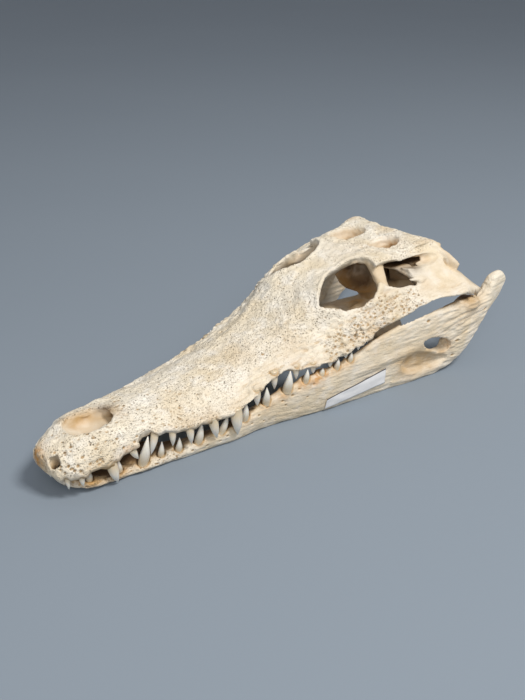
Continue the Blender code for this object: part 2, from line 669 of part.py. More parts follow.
def rest_flat(obj):
    """Slice obj off at the level it rests on, which leaves long flats under the jaw."""
    bm = bmesh.new()
    bm.from_mesh(obj.data)
    everything = bm.verts[:] + bm.edges[:] + bm.faces[:]
    sliced = bmesh.ops.bisect_plane(bm, geom=everything, dist=1e-6, plane_co=(0, 0, 0), plane_no=(0, 0, -1),
                                    clear_outer=True)
    rim = [item for item in sliced["geom_cut"] if isinstance(item, bmesh.types.BMEdge)]
    bmesh.ops.holes_fill(bm, edges=rim)
    bmesh.ops.triangulate(bm, faces=[face for face in bm.faces if len(face.verts) > 4])
    bm.to_mesh(obj.data)
    bm.free()


def other_side(obj, name):
    """A mirror image of obj as an object of its own."""
    bm = bmesh.new()
    bm.from_mesh(modified_mesh(obj))
    bmesh.ops.scale(bm, vec=(-1, 1, 1), verts=bm.verts)
    bmesh.ops.reverse_faces(bm, faces=bm.faces)
    return make_object(name, bm)


# The paper tag on the left lower jaw: its ends along the jaw, and its lower and upper
# edges at each end.
TAG_FRONT, TAG_BACK = 152.5, 193.0
TAG_LOW = guide((152, 2.2), (193, 6.6))
TAG_HIGH = guide((152, 8.4), (193, 15.9))


def tag(jaw):
    """A strip of paper that follows the outer side of the jaw, just clear of it."""
    graph = bpy.context.evaluated_depsgraph_get()
    surface = BVHTree.FromObject(jaw, graph)
    bm = bmesh.new()
    bmesh.ops.create_grid(bm, x_segments=8, y_segments=2, size=0.5)
    for vert in bm.verts:
        s = TAG_FRONT + (vert.co.x + 0.5) * (TAG_BACK - TAG_FRONT)
        low, high = float(TAG_LOW(s)), float(TAG_HIGH(s))
        start = place((90, s, low + (vert.co.y + 0.5) * (high - low)))
        hit = surface.ray_cast(start, Vector((-1, 0, 0)))[0]
        vert.co = hit + Vector((TAG_CLEARANCE * MM, 0, 0))
    sheet = bm.faces[:]
    bmesh.ops.recalc_face_normals(bm, faces=sheet)
    grown = bmesh.ops.extrude_face_region(bm, geom=sheet, use_keep_orig=True)["geom"]
    top = [item for item in grown if isinstance(item, bmesh.types.BMVert)]
    bmesh.ops.translate(bm, verts=top, vec=(TAG_THICKNESS * MM, 0, 0))
    return make_object("tag", bm)


def finish(obj, look):
    obj.data.materials.clear()
    obj.data.materials.append(look)
    obj.data.shade_smooth()


def build():
    for obj in list(bpy.data.objects):
        bpy.data.objects.remove(obj)
    bone = material("bone", BONE, 0.6)
    paper = material("paper", PAPER, 0.8)
    cranium = cranium_body()
    soften(cranium, 3)
    thin_out(cranium, CRANIUM_TRIANGLES)
    work_in(cranium)
    cut(cranium, upper_teeth(), "UNION")
    finish(cranium, bone)
    jaw = jaw_body()
    soften(jaw, 3)
    thin_out(jaw, JAW_TRIANGLES)
    work_in(jaw)
    rest_flat(jaw)
    cut(jaw, lower_teeth(), "UNION")
    work_in(jaw)
    finish(jaw, bone)
    finish(other_side(jaw, "mandible_right"), bone)
    finish(tag(jaw), paper)


build()
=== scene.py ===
"""Skull of a young crocodile with its jaws closed: the bones, teeth and paper tag.

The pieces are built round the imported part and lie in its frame. Shapes are worked out
in millimetres in the skull's own frame: x from the midline, s back from the tip of the
snout, and z up from the level on which the lower jaws rest.
"""

import math

import bmesh
import bpy
import numpy as np
from mathutils import Matrix, Vector
from mathutils.bvhtree import BVHTree

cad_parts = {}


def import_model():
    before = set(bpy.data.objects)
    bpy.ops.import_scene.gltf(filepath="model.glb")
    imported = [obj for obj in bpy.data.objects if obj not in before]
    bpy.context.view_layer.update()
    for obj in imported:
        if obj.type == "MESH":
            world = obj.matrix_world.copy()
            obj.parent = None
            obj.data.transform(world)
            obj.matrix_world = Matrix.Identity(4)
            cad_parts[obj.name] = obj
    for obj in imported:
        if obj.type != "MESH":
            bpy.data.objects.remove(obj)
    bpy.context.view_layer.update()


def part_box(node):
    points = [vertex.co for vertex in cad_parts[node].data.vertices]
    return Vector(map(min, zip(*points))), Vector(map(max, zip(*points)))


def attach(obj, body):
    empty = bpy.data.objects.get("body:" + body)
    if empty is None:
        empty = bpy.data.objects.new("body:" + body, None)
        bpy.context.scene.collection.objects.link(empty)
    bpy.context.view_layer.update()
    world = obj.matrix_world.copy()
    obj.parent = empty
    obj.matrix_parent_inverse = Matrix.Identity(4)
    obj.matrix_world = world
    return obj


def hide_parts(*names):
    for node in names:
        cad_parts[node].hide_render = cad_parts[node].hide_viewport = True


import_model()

MM = 0.001
FIRST_RING = 0.95           # where the bone of the snout begins, behind s = 0
SNOUT_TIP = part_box("cranium")[0].y / MM - FIRST_RING
GRAIN = 0.55      # size of the cells in which bones are fused
CRANIUM_TRIANGLES = 190000
JAW_TRIANGLES = 110000
SKY_RAYS = 20

PREMAXILLA_LENGTH = 26.0    # from the tip to the widest part of the premaxilla
PREMAXILLA_HALF_WIDTH = 20.8
NOSE_SETBACK = 0.8
TABLE_START = 201.5         # the front edge of the skull table
TABLE_END = 250.0           # its rear edge
TABLE_THICKNESS = 5.0
ROOF_THICKNESS = 4.5
SECTION_POINTS = 26         # points on half a cross-section
STATION_STEP = 2.0          # distance between cross-sections
BEAM_SIDES = 24
BEAM_STEP = 1.5


# ---------------------------------------------------------------- curves

def guide(*stations):
    """A smooth function through (place, value) stations that never overshoots them."""
    place, value = (np.array(column, float) for column in zip(*stations))
    step = np.diff(place)
    rise = np.diff(value) / step
    slope = np.concatenate([rise[:1], np.zeros(len(rise) - 1), rise[-1:]])
    for i in range(1, len(rise)):
        if rise[i - 1] * rise[i] > 0:
            slope[i] = 2 * rise[i - 1] * rise[i] / (rise[i - 1] + rise[i])

    def at(s):
        i = np.clip(np.searchsorted(place, s) - 1, 0, len(step) - 1)
        t = np.clip((s - place[i]) / step[i], 0, 1)
        start = value[i] + t * step[i] * slope[i]
        end = value[i + 1] - (1 - t) * step[i] * slope[i + 1]
        blend = t * t * (3 - 2 * t)
        return start * (1 - blend) + end * blend

    return at


def catmull(a, b, c, d, t):
    return 0.5 * (2 * b + (c - a) * t + (2 * a - 5 * b + 4 * c - d) * t * t
                  + (3 * b - 3 * c + d - a) * t ** 3)


def spline(points, count):
    """A smooth open run of points through the given ones."""
    points = np.array(points, float)
    ends = np.vstack([2 * points[0] - points[1], points, 2 * points[-1] - points[-2]])
    result = []
    for u in np.linspace(0, len(points) - 1, count):
        i = min(int(u), len(points) - 2)
        result.append(catmull(*ends[i:i + 4], u - i))
    return np.array(result)


def closed_spline(points, count):
    """A smooth closed loop through the given points."""
    points = np.array(points, float)
    n = len(points)
    result = []
    for u in np.arange(count) * n / count:
        i = int(u)
        result.append(catmull(*(points[(i + k) % n] for k in (-1, 0, 1, 2)), u - i))
    return np.array(result)


def nose_round(s, length=PREMAXILLA_LENGTH, blunt=2.4):
    """How much of its full width the blunt front of the snout has at s."""
    t = np.clip((s - NOSE_SETBACK) / length, 0, 1)
    return (1 - (1 - t) ** blunt) ** (1 / blunt)


# ---------------------------------------------------------------- outlines of the cranium

WIDTH_BEHIND_NOSE = guide((26, 20.6), (36, 20.3), (46, 21.2), (56, 24.2), (70, 27.6), (83, 30.0),
                          (96, 32.2), (111, 31.2), (124, 30.6), (136, 34.4), (146, 38), (156, 40.8),
                          (166, 43.2), (193, 48), (207, 50.6), (225, 55), (256, 60.5))
MARGIN = guide((0, 15), (3, 12.4), (8, 11.6), (12, 11.4), (16, 12.4), (20, 13.2), (27, 11.6), (34, 14),
               (46, 17.5), (54, 20.5), (64, 19), (74, 18.2), (92, 18.7), (102, 21), (113, 25.4),
               (125, 29.7), (131, 31), (140, 30), (150, 30.5), (167, 34.2), (178, 38.3), (185, 41.8),
               (206, 46.5), (217, 50.5), (226, 52), (236, 50.8), (256, 47.3))
ROOF = guide((0, 20), (3, 23.4), (10, 26.2), (25, 29.6), (60, 30), (90, 33), (120, 39.5), (150, 51),
             (165, 59.2), (188, 68.6), (202, 72.2), (215, 72.8), (250, 73.5))
PALATE = guide((0, 14), (5.5, 14.4), (12, 17), (32, 17.5), (46, 22), (70, 22.5), (100, 25),
               (130, 32), (160, 36), (200, 46), (250, 52))
# Height of the roof at the inner and outer thirds of the half width, and of the widest
# point, as a share of the height from margin to roof.
INNER_HEIGHT = guide((0, 0.94), (30, 0.96), (60, 0.86), (130, 0.86), (150, 0.93), (165, 1.03),
                     (188, 0.96), (205, 1.0), (256, 1.0))
OUTER_HEIGHT = guide((0, 0.62), (15, 0.64), (28, 0.82), (40, 0.82), (52, 0.62), (62, 0.5), (80, 0.43),
                     (130, 0.4), (165, 0.44), (188, 0.54),
                     (200, 0.45), (210, 0.36), (218, 0.31), (228, 0.33), (256, 0.4))
SIDE_HEIGHT = guide((0, 0.3), (60, 0.28), (100, 0.2), (130, 0.1), (165, 0.1), (190, 0.12),
                    (205, 0.08), (225, 0.06), (256, 0.2))
INNER_PLACE = 0.45
OUTER_PLACE = 0.80

# Place along the jaw, height of the crown, radius at its base, and how far back the tip
# leans, from the front tooth to the rear one.
UPPER_TEETH = [(4, 3.5, 1.0, 0), (7.5, 6.6, 1.2, 0.1), (13.2, 5.8, 1.5, 0.3), (28.6, 11.4, 2.5, 2.6),
               (40.2, 7.8, 1.8, 3.5), (52.6, 11.2, 1.9, -3.2), (61, 9.2, 1.8, -0.2),
               (70, 10, 2.0, 0.8), (82.9, 11.6, 2.4, 2.3), (96.3, 14.4, 3.1, 0.8), (111, 9, 2.2, 0.6),
               (123.8, 9, 2.0, 0.5), (136, 6.8, 1.9, 0.4), (145.4, 5.2, 1.8, 0.4),
               (155.4, 4.8, 1.7, 0.4), (165, 4.4, 1.6, 0.4), (173.2, 4.1, 1.5, 0.3),
               (179.2, 3.8, 1.4, 0.3)]
FIRST_TOOTH_X = 3.4
UPPER_TOOTH_INSET = 2.6


def half_width(s):
    front = np.maximum(PREMAXILLA_HALF_WIDTH * nose_round(s), 1.0)
    return np.where(s < PREMAXILLA_LENGTH, front, WIDTH_BEHIND_NOSE(s))


def near_teeth(s, teeth, spread=1.0):
    """1 beside a tooth, falling to 0 between teeth."""
    bumps = [np.exp(-((s - at) / (spread * radius + 0.6)) ** 2) for at, _, radius, _ in teeth]
    return np.max(bumps, axis=0)


def roof_line(s):
    """Half cross-section of the cranium's outside at s, from midline to margin."""
    w, margin, top = float(half_width(s)), float(MARGIN(s)), float(ROOF(s))
    height = max(top - margin, 1.0)
    corners = [(0, top),
               (INNER_PLACE * w, margin + INNER_HEIGHT(s) * height),
               (OUTER_PLACE * w, margin + OUTER_HEIGHT(s) * height),
               (w, margin + SIDE_HEIGHT(s) * height),
               (w - 1.0, margin)]
    line = spline(corners, SECTION_POINTS)
    line[:, 0] = np.maximum(line[:, 0], 0)
    return line


def both_sides(half, s):
    """A closed ring in skull coordinates from the left half of a cross-section."""
    left = [(x, s, z) for x, z in half]
    right = [(-x, s, z) for x, z in reversed(half) if abs(x) > 0.2]
    return left + right


def cranium_ring(s):
    """The outside of the snout and face: roof, margin, tooth ridge and palate."""
    roof = [tuple(p) for p in roof_line(s)]
    w, margin, palate = float(half_width(s)), float(MARGIN(s)), float(PALATE(s))
    palate = max(palate, margin + 0.5)
    ridge = max(w - 7.0, 0.6 * w)
    corners = [(w - 1.0, margin), (ridge + 0.4 * (w - ridge), margin - 0.2), (ridge, margin + 1.0),
               (0.5 * ridge, palate), (0.0, palate)]
    under = [tuple(p) for p in spline(corners, 16)[1:]]
    return both_sides(roof + under, s)


# ---------------------------------------------------------------- solids

def place(point):
    """A point in skull coordinates and millimetres as metres in the part's frame."""
    x, s, z = point
    return Vector((x * MM, (s + SNOUT_TIP) * MM, z * MM))


def loft(bm, rings, marks=None, mark_layer=None):
    """Add a closed solid to bm by extruding one cross-section into the next."""
    first = bm.faces.new([bm.verts.new(place(point)) for point in rings[0]])
    if marks is not None:
        for vert in first.verts:
            vert[mark_layer] = marks[0]
    cap = first
    for number, ring in enumerate(rings[1:], 1):
        grown = bmesh.ops.extrude_face_region(bm, geom=[cap])["geom"]
        if cap is not first:
            bmesh.ops.delete(bm, geom=[cap], context="FACES_ONLY")
        cap = next(item for item in grown if isinstance(item, bmesh.types.BMFace))
        for vert, point in zip(cap.verts, ring):
            vert.co = place(point)
            if marks is not None:
                vert[mark_layer] = marks[number]
    bmesh.ops.triangulate(bm, faces=[first, cap])


def rounded(value, power):
    """A signed root, which squares off an ellipse."""
    return math.copysign(abs(value) ** (2 / power), value)


def beam(bm, path, half, up=(0, 0, 1), power=2.4, sides=BEAM_SIDES):
    """A bar along a smooth path; half gives its half width and half height at each point."""
    path, half = np.array(path, float), np.array(half, float)
    length = np.linalg.norm(np.diff(path, axis=0), axis=1).sum()
    count = max(int(length / BEAM_STEP), 2 * len(path))
    middle, size = spline(path, count), spline(half, count)
    along = np.gradient(middle, axis=0)
    rings = []
    for centre, (a, b), ahead in zip(middle, size, along):
        side = np.cross(ahead, up)
        side /= np.linalg.norm(side)
        rise = np.cross(side, ahead)
        rise /= np.linalg.norm(rise)
        rings.append([centre + side * a * rounded(math.cos(t), power)
                      + rise * b * rounded(math.sin(t), power)
                      for t in np.linspace(0, 2 * math.pi, sides, endpoint=False)])
    loft(bm, rings)


def mirrored(points):
    return [(-x, s, z) for x, s, z in points]


def pair(bm, path, half, up=(0, 0, 1), **options):
    """The same bar on the left and on the right side."""
    beam(bm, path, half, up=up, **options)
    beam(bm, mirrored(path), half, up=(-up[0], up[1], up[2]), **options)


def prism(bm, outline, direction, inner, outer):
    """A cutter through a smooth outline, from inner to outer along a direction."""
    ring = closed_spline(outline, 72)
    direction = np.array(direction, float)
    loft(bm, [ring + direction * inner, ring + direction * outer])


def pair_prism(bm, outline, direction, inner, outer):
    prism(bm, outline, direction, inner, outer)
    prism(bm, mirrored(outline), (-direction[0], direction[1], direction[2]), inner, outer)


def stations(start, end):
    """Places from start to end, about a station step apart."""
    return np.linspace(start, end, max(int((end - start) / STATION_STEP), 2))


def make_object(name, bm):
    bmesh.ops.recalc_face_normals(bm, faces=bm.faces)
    mesh = bpy.data.meshes.new(name)
    bm.to_mesh(mesh)
    bm.free()
    obj = bpy.data.objects.new(name, mesh)
    bpy.context.scene.collection.objects.link(obj)
    return obj


def solid(name, make, *values):
    """An object made by one of the functions that add solids to a bmesh."""
    bm = bmesh.new()
    make(bm, *values)
    return make_object(name, bm)


def work_in(obj):
    """Replace obj's mesh by its modified one."""
    bpy.context.view_layer.update()
    graph = bpy.context.evaluated_depsgraph_get()
    mesh = bpy.data.meshes.new_from_object(obj.evaluated_get(graph))
    obj.modifiers.clear()
    obj.data = mesh


def cut_away(obj, *cutters, overlapping=False):
    """Cut each cutter out of obj, which may hold several overlapping solids."""
    for cutter in cutters:
        boolean = obj.modifiers.new("cut", "BOOLEAN")
        boolean.solver = "EXACT"
        boolean.use_self = overlapping
        boolean.operation = "DIFFERENCE"
        boolean.object = cutter
    work_in(obj)


def fused(name, solids, softness):
    """One skin round the given solids, a little rounded, as an object."""
    bm = bmesh.new()
    for each in solids:
        bm.from_mesh(each.data)
        bpy.data.objects.remove(each)
    body = make_object(name, bm)
    remesh = body.modifiers.new("fuse", "REMESH")
    remesh.mode = "VOXEL"
    remesh.voxel_size = GRAIN * MM
    smooth = body.modifiers.new("soften", "SMOOTH")
    smooth.factor = 0.5
    smooth.iterations = softness
    work_in(body)
    return body


def thin_out(obj, triangles, spare=None):
    """Bring the skin of obj down to a number of triangles, the most where spare is 1."""
    obj.data.calc_loop_triangles()
    have = len(obj.data.loop_triangles)
    if have <= triangles:
        return
    decimate = obj.modifiers.new("thin_out", "DECIMATE")
    decimate.ratio = triangles / have
    decimate.use_collapse_triangulate = True
    if spare is not None:
        group = obj.vertex_groups.new(name="spare")
        levels = np.round(spare * 8).astype(int)
        for level in range(1, 9):
            members = np.flatnonzero(levels == level)
            group.add(members.tolist(), level / 8, "REPLACE")
        decimate.vertex_group = "spare"
        decimate.vertex_group_factor = 1.0
    work_in(obj)
    obj.vertex_groups.clear()


# ---------------------------------------------------------------- openings of the cranium

CHAMBER_START = 156.0
CHAMBER_END = 249.0
WALL = guide((156, 11), (170, 7.5), (185, 5), (249, 5))
CHAMBER_TOP = guide((156, 42), (163, 62), (172, 70), (222, 72), (236, 60), (249, 42))
ORBIT = [(20.3, 162.9, 60), (23.8, 162.5, 60), (28.5, 168, 60), (33.5, 176, 60), (36.8, 184.5, 60),
         (37.2, 190, 60), (36, 194.5, 60), (31, 200.5, 60), (22.8, 203, 60), (16.1, 200.6, 60),
         (12.4, 194.5, 60), (10.4, 187.5, 60), (10.1, 181, 60), (13, 173.8, 60), (16.8, 167.6, 60)]
CHEEK_WINDOW = [(36, 203.2, 59.5), (39, 209.6, 58.1), (40.5, 216.5, 57.4), (42.5, 224, 56.8),
                (41, 222, 60.5), (36, 220.5, 62.8), (30, 219.5, 65.8), (26, 216.5, 67.5),
                (24.5, 209, 67.5), (25, 202, 67), (31, 197.5, 64), (34, 199.5, 61.5)]


def muscle_chamber(bm):
    """The space behind and below the eyes, open below, with the roof and cheeks left round it."""
    rings = []
    for s in stations(CHAMBER_START, CHAMBER_END):
        w, margin, roof = float(half_width(s)), float(MARGIN(s)), float(ROOF(s))
        reach, top = w - float(WALL(s)), float(CHAMBER_TOP(s))
        inner = margin + INNER_HEIGHT(s) * (roof - margin) - ROOF_THICKNESS
        outer = margin + OUTER_HEIGHT(s) * (roof - margin) - 0.8 * ROOF_THICKNESS
        line = [(0, roof - ROOF_THICKNESS), (INNER_PLACE * w, inner),
                (min(OUTER_PLACE * w - 0.5 * ROOF_THICKNESS, 0.9 * reach), outer), (reach, margin)]
        half = [(x, min(z, top - 0.05 * x)) for x, z in spline(line, SECTION_POINTS)]
        half += [(reach, -5.0), (0.5 * reach, -5.0), (0.0, -5.0)]
        rings.append(both_sides(half, s))
    loft(bm, rings)


def eye_sockets(bm):
    pair_prism(bm, ORBIT, (0, 0, 1), -14, 30)


def cheek_windows(bm):
    pair_prism(bm, CHEEK_WINDOW, (0.7, 0, 0.7), -14, 14)


def palate_windows(bm):
    """The long openings between the palate's middle bar and the tooth rows."""
    outline = [(12, 140, 30), (20, 138, 30), (28, 148, 30), (32, 165, 30), (12, 170, 30),
               (9.5, 155, 30)]
    pair_prism(bm, outline, (0, 0, 1), -20, 8)


def nostril(bm):
    """The basin of the nostrils, which runs back under the snout roof."""
    beam(bm, [(0, 17.3, 33), (0, 21, 31), (0, 28, 29.8), (0, 34.5, 30), (0, 39.5, 28.5)],
         [(4.5, 3.5), (8.4, 6.5), (10.2, 7.8), (9.4, 7.0), (5.4, 3.4)], power=3.6)


def nose_passage(bm):
    """The passage that leads from the basin back into the snout."""
    beam(bm, [(0, 31, 25.8), (0, 38, 26.4), (0, 50, 25.2)], [(6.6, 2.4), (6.4, 2.9), (4, 2)])


def nose_ledges(bm):
    """A rounded ledge along each wall of the nostrils' basin."""
    pair(bm, [(8.0, 19.5, 25.6), (9.6, 27, 26.2), (8.2, 34, 27)], [(1.2, 1.3), (1.6, 1.5), (1.0, 1.1)])


def nose_holes(bm):
    """Holes in front of the nostrils, where the first lower teeth fit."""
    pair(bm, [(8.2, 8.6, 11), (8.2, 6.2, 17), (8.0, 3.8, 22)], [(3.2, 2.6)] * 3, up=(1, 0, 0), power=2)


def tooth_niches(bm):
    """The notch behind the premaxilla on each side, where the large lower tooth stands."""
    pair(bm, [(23, 46.8, 8), (22.6, 47, 16), (22.2, 47.2, 21.5), (22.2, 47.2, 24)],
         [(5.2, 5.2), (5, 5), (4.6, 4.6), (2, 2)], up=(0, 1, 0), power=2)


def upper_places():
    """Base and tip of each upper tooth, on both sides."""
    for s, height, radius, lean in UPPER_TEETH:
        out = float(half_width(s)) - UPPER_TOOTH_INSET if s > 4 else FIRST_TOOTH_X
        z = float(MARGIN(s)) + 0.6
        for side in (1, -1):
            yield (side * out, s, z), (side * out, s + lean, z - height), radius


def ear_grooves(bm):
    """The groove under the edge of the skull table, in front of the ear."""
    pair(bm, [(29, 212, 67.5), (33, 226, 67), (36, 238, 67.5), (38, 245, 68.5)],
         [(3, 1.5), (5, 2.6), (5, 2.8), (3, 2)])


def ear_pockets(bm):
    """The deeper recess of the ear, inside the groove."""
    pair(bm, [(30, 217, 67), (27, 224, 66), (26, 232, 65.6), (28, 238, 66)],
         [(4, 1.2), (6, 2.2), (6, 2.3), (4, 1.5)])


# The windows in the skull table are funnels: how far out and back their middle lies, and
# how wide and how long they are, at each height.
FUNNEL_OUT = guide((48, 15.8), (59, 15.4), (63.5, 14.8), (68, 14.4), (74, 14.2), (79, 14.2))
FUNNEL_BACK = guide((48, 229.5), (59, 228), (63.5, 225.5), (68, 223.2), (74, 221.7), (79, 221.5))
FUNNEL_WIDE = guide((48, 2.8), (59, 3.6), (63.5, 5.0), (68, 6.6), (71.5, 7.6), (74.2, 8.4), (79, 10))
FUNNEL_LONG = guide((48, 3.0), (59, 4.2), (63.5, 6.4), (68, 8.8), (71.5, 10.2), (74.2, 11.2), (79, 13))


def funnel(bm, extra, top, bottom):
    """The funnel of each window in the table, or with extra the bone round it."""
    for side, shift, back, share in ((1, -3.2, 4.4, 0.92), (-1, 0.6, 0.8, 1.14)):
        rings = []
        for z in np.linspace(top, bottom, 20):
            across, lengthwise = share * FUNNEL_WIDE(z) + extra, share * FUNNEL_LONG(z) + extra
            rings.append([(side * (FUNNEL_OUT(z) + shift + across * rounded(math.cos(t), 2.3)),
                           FUNNEL_BACK(z) + back + lengthwise * rounded(math.sin(t), 2.3), z)
                          for t in np.linspace(0, 2 * math.pi, 40, endpoint=False)])
        loft(bm, rings)


# ---------------------------------------------------------------- bones of the cranium

TABLE_HALF = guide((TABLE_START, 15.5), (204, 20), (208, 24.2), (222, 27), (240, 29.5), (250, 30.5))
# How far the rear of the table rises, at its corners and at its middle.
CORNER_RISE = guide((TABLE_START, 0), (226, 0), (240, 2.3), (246.5, 1.7), (250, 0.5))
MIDDLE_RISE = guide((TABLE_START, 0), (226, 0), (242, 1.4), (250, 0.4))


def skull_table(bm):
    """The flat roof over the braincase, wider at the back, with a stepped side."""
    rings = []
    for share in np.linspace(0, 1, 26):
        s = TABLE_START + share * (TABLE_END - TABLE_START)
        w, top = float(TABLE_HALF(s)), float(ROOF(s)) + 0.3
        low = top - TABLE_THICKNESS
        edge = [(0, top + 0.5), (0.3 * w, top + 0.4), (0.6 * w, top + 0.2), (0.85 * w, top),
                (w - 1.4, top - 0.3), (w - 0.3, top - 1.0), (w, top - 1.8), (w - 0.9, top - 2.6),
                (w + 0.1, top - 3.7), (w - 0.7, low + 0.3), (0.93 * w, low), (0.5 * w, low),
                (0.0, low)]
        corner, middle = float(CORNER_RISE(s)), float(MIDDLE_RISE(s))
        edge = [(x, z + middle + (corner - middle) * min(x / w, 1) ** 4) for x, z in edge]
        ring = both_sides(edge, s)
        rings.append([(x, s + share ** 4 * (-4.5 + 6 * (x / 31) ** 2), z) for x, s, z in ring])
    loft(bm, rings)


def braincase(bm):
    """The block that held the brain, with the neck joint on its back."""
    beam(bm, [(0, 206, 60), (0, 216, 57), (0, 230, 56), (0, 247, 58)],
         [(7, 8), (11, 14), (13, 16), (16, 14)], power=3)
    beam(bm, [(0, 224, 44), (0, 238, 44), (0, 248, 44)], [(7, 9), (9, 10), (10, 9)])
    beam(bm, [(0, 244, 49), (0, 252, 49), (0, 257, 48)], [(6, 5), (5.5, 4.8), (3, 2.5)])


def neck_hole(bm):
    """The opening through which the spinal cord left the braincase."""
    beam(bm, [(0, 232, 57.5), (0, 245, 57.5), (0, 262, 58.5)], [(3.2, 2.8), (3.8, 3.2), (5, 4.4)])


def back_wings(bm):
    """The back wall and its wings, from the braincase out to the ear region."""
    pair(bm, [(2, 246, 62), (16, 247, 63), (30, 249, 64), (39, 252, 62.5), (45, 254.5, 60)],
         [(3, 10), (3, 9), (3.2, 8), (2.6, 5), (1.8, 2.6)])
    pair(bm, [(24, 244, 70.5), (30, 249, 70.5), (33, 251.5, 70)], [(4, 2.6), (3.5, 2.6), (2, 2)])


def quadrates(bm):
    """The struts that carry the jaw joints, each with a double roller at its end."""
    pair(bm, [(14, 232, 56), (28, 240, 58), (40, 247, 56), (49, 253, 51.5), (53.5, 258, 48)],
         [(8, 6), (9, 5.5), (9.5, 5), (9, 4.6), (7, 3.4)])
    pair(bm, [(10, 236, 44), (24, 240, 50), (38, 247, 52)], [(4, 7), (4, 6), (4, 4)])
    pair(bm, [(10, 229, 60), (20, 226, 62), (27, 224.5, 63.3), (33, 224.5, 62.2), (39, 225, 61),
              (43, 226, 59)],
         [(6, 3), (6, 1.6), (5.5, 1.3), (5, 1.3), (4.5, 1.4), (4, 2)])
    pair(bm, [(46.5, 258.2, 47.4), (50, 259.2, 48.2), (54, 259.8, 48.4), (58, 258.6, 47)],
         [(2.0, 2.4), (2.6, 2.9), (2.2, 2.6), (2.2, 2.8)])


def eye_bars(bm):
    """The bars behind the eyes and the pillars in front of them."""
    pair(bm, [(20, 207.4, 69.6), (24, 206.8, 64.5), (31, 203.5, 58.3), (38.5, 199.5, 54), (43, 197.5, 50)],
         [(5.4, 3.4), (4.2, 2.8), (3.3, 2.6), (3.7, 2.9), (4.2, 2.8)])
    pair(bm, [(13, 163, 58), (10, 166, 48), (8, 168, 36)], [(3, 5), (2.2, 3.5), (2.5, 5)],
         up=(0, 1, 0))


def cheek_flanges(bm):
    """The inner flange of each cheek bar, below the eye."""
    pair(bm, [(41, 176, 43), (43, 190, 46), (45, 203, 48.5), (46.5, 212, 51)],
         [(3, 3.5), (3, 3.5), (2.6, 3), (2, 2.5)])


def cheek_spines(bm):
    """The small spine that points forwards from the rear edge of the cheek window."""
    pair(bm, [(42, 224.5, 60), (41, 221, 60.6), (39.6, 217, 61)],
         [(1.6, 1.4), (1.1, 0.9), (0.35, 0.35)])
    pair(bm, [(43.2, 226.5, 57.6), (42.4, 223.5, 57.9), (41.6, 220.5, 58.2)],
         [(1.5, 1.2), (1.0, 0.8), (0.35, 0.35)])


def palate_bars(bm):
    """The middle bar of the palate, its rear wings, and the struts out to the cheeks."""
    beam(bm, [(0, 128, 31), (0, 150, 32), (0, 180, 32), (0, 202, 32)],
         [(12, 4), (8, 4.5), (7, 4.5), (10, 4)], power=3)
    middle = guide((0, 219), (12, 217), (25, 216), (36, 214))
    reach = guide((0, 22), (12, 20), (25, 16), (36, 9))
    height = guide((0, 32), (12, 29), (25, 23), (36, 16))
    thickness = guide((0, 3.2), (12, 1.8), (25, 1.8), (36, 3))
    for side in (1, -1):
        rings = []
        for x in np.linspace(0, 36, 24):
            rings.append([(side * x, float(middle(x)) + float(reach(x)) * math.cos(t),
                           float(height(x)) + float(thickness(x)) * math.sin(t))
                          for t in np.linspace(0, 2 * math.pi, 32, endpoint=False)])
        loft(bm, rings)
    pair(bm, [(39, 172, 42), (38.3, 184, 41.5), (35, 198, 33), (31.5, 209, 22)],
         [(3, 4), (2.4, 4), (2.3, 4), (3, 5)])
    beam(bm, [(0, 225, 30), (0, 238, 34), (0, 247, 38)], [(10, 4), (9, 5), (9, 5)])


def throat_hole(bm):
    """Where the passage of the nose opens into the throat."""
    beam(bm, [(0, 222, 20), (0, 218, 30), (0, 210, 36)], [(5, 4), (4.4, 3.6), (3, 2.5)], up=(1, 0, 0))


def face_shell(bm):
    """The snout, face and temples as one solid, before any opening is cut."""
    nose = [FIRST_RING, 1.3, 1.8, 2.6, 3.6, 4.8, 6.2, 8.0, 10, 12, 14, 16, 18, 20]
    loft(bm, [cranium_ring(s) for s in nose + list(stations(22.0, TABLE_END - 2))])


def cranium_bone():
    """All bones of the cranium fused into one body, and the skin of its uncut face."""
    shell = solid("face", face_shell)
    bpy.context.view_layer.update()
    skin = BVHTree.FromObject(shell, bpy.context.evaluated_depsgraph_get())
    roof_funnel = solid("funnel_cutter", funnel, 0.0, 79.0, 48.0)
    ears = [solid("ear_cutter", ear_grooves), solid("ear_cutter", ear_pockets)]
    openings = [solid("cutter", make) for make in
                (muscle_chamber, eye_sockets, cheek_windows, palate_windows, nostril, nose_passage,
                 nose_holes, tooth_niches)]
    cut_away(shell, *openings, roof_funnel, *ears)
    table = solid("table", skull_table)
    cut_away(table, roof_funnel, *ears)
    walls = solid("funnel_walls", funnel, 1.7, 73.0, 56.0)
    cut_away(walls, roof_funnel)
    neck = solid("neck_cutter", neck_hole)
    rear = [solid("brain", braincase), solid("wings", back_wings)]
    for each in rear:
        cut_away(each, roof_funnel, *ears, neck, overlapping=True)
    struts = solid("quadrates", quadrates)
    palate = solid("palate", palate_bars)
    throat = solid("throat_cutter", throat_hole)
    cut_away(palate, throat, overlapping=True)
    for cutter in openings + ears + [roof_funnel, neck, throat]:
        bpy.data.objects.remove(cutter)
    pieces = [shell, table, walls, *rear, struts, palate, solid("eye_bars", eye_bars),
              solid("flanges", cheek_flanges), solid("spines", cheek_spines),
              solid("ledges", nose_ledges)]
    return fused("cranium_bone", pieces, 3), skin


# ---------------------------------------------------------------- relief

def hashed(cell, seed):
    """Repeatable numbers from 0 to 1 for whole-number cells."""
    cell = cell.astype(np.int64)
    n = (cell[:, 0] * 73856093) ^ (cell[:, 1] * 19349663) ^ (cell[:, 2] * 83492791) ^ (seed * 50331653)
    n = (n ^ (n >> 13)) * 1274126177
    return ((n ^ (n >> 16)) & 0xffff) / 65535.0


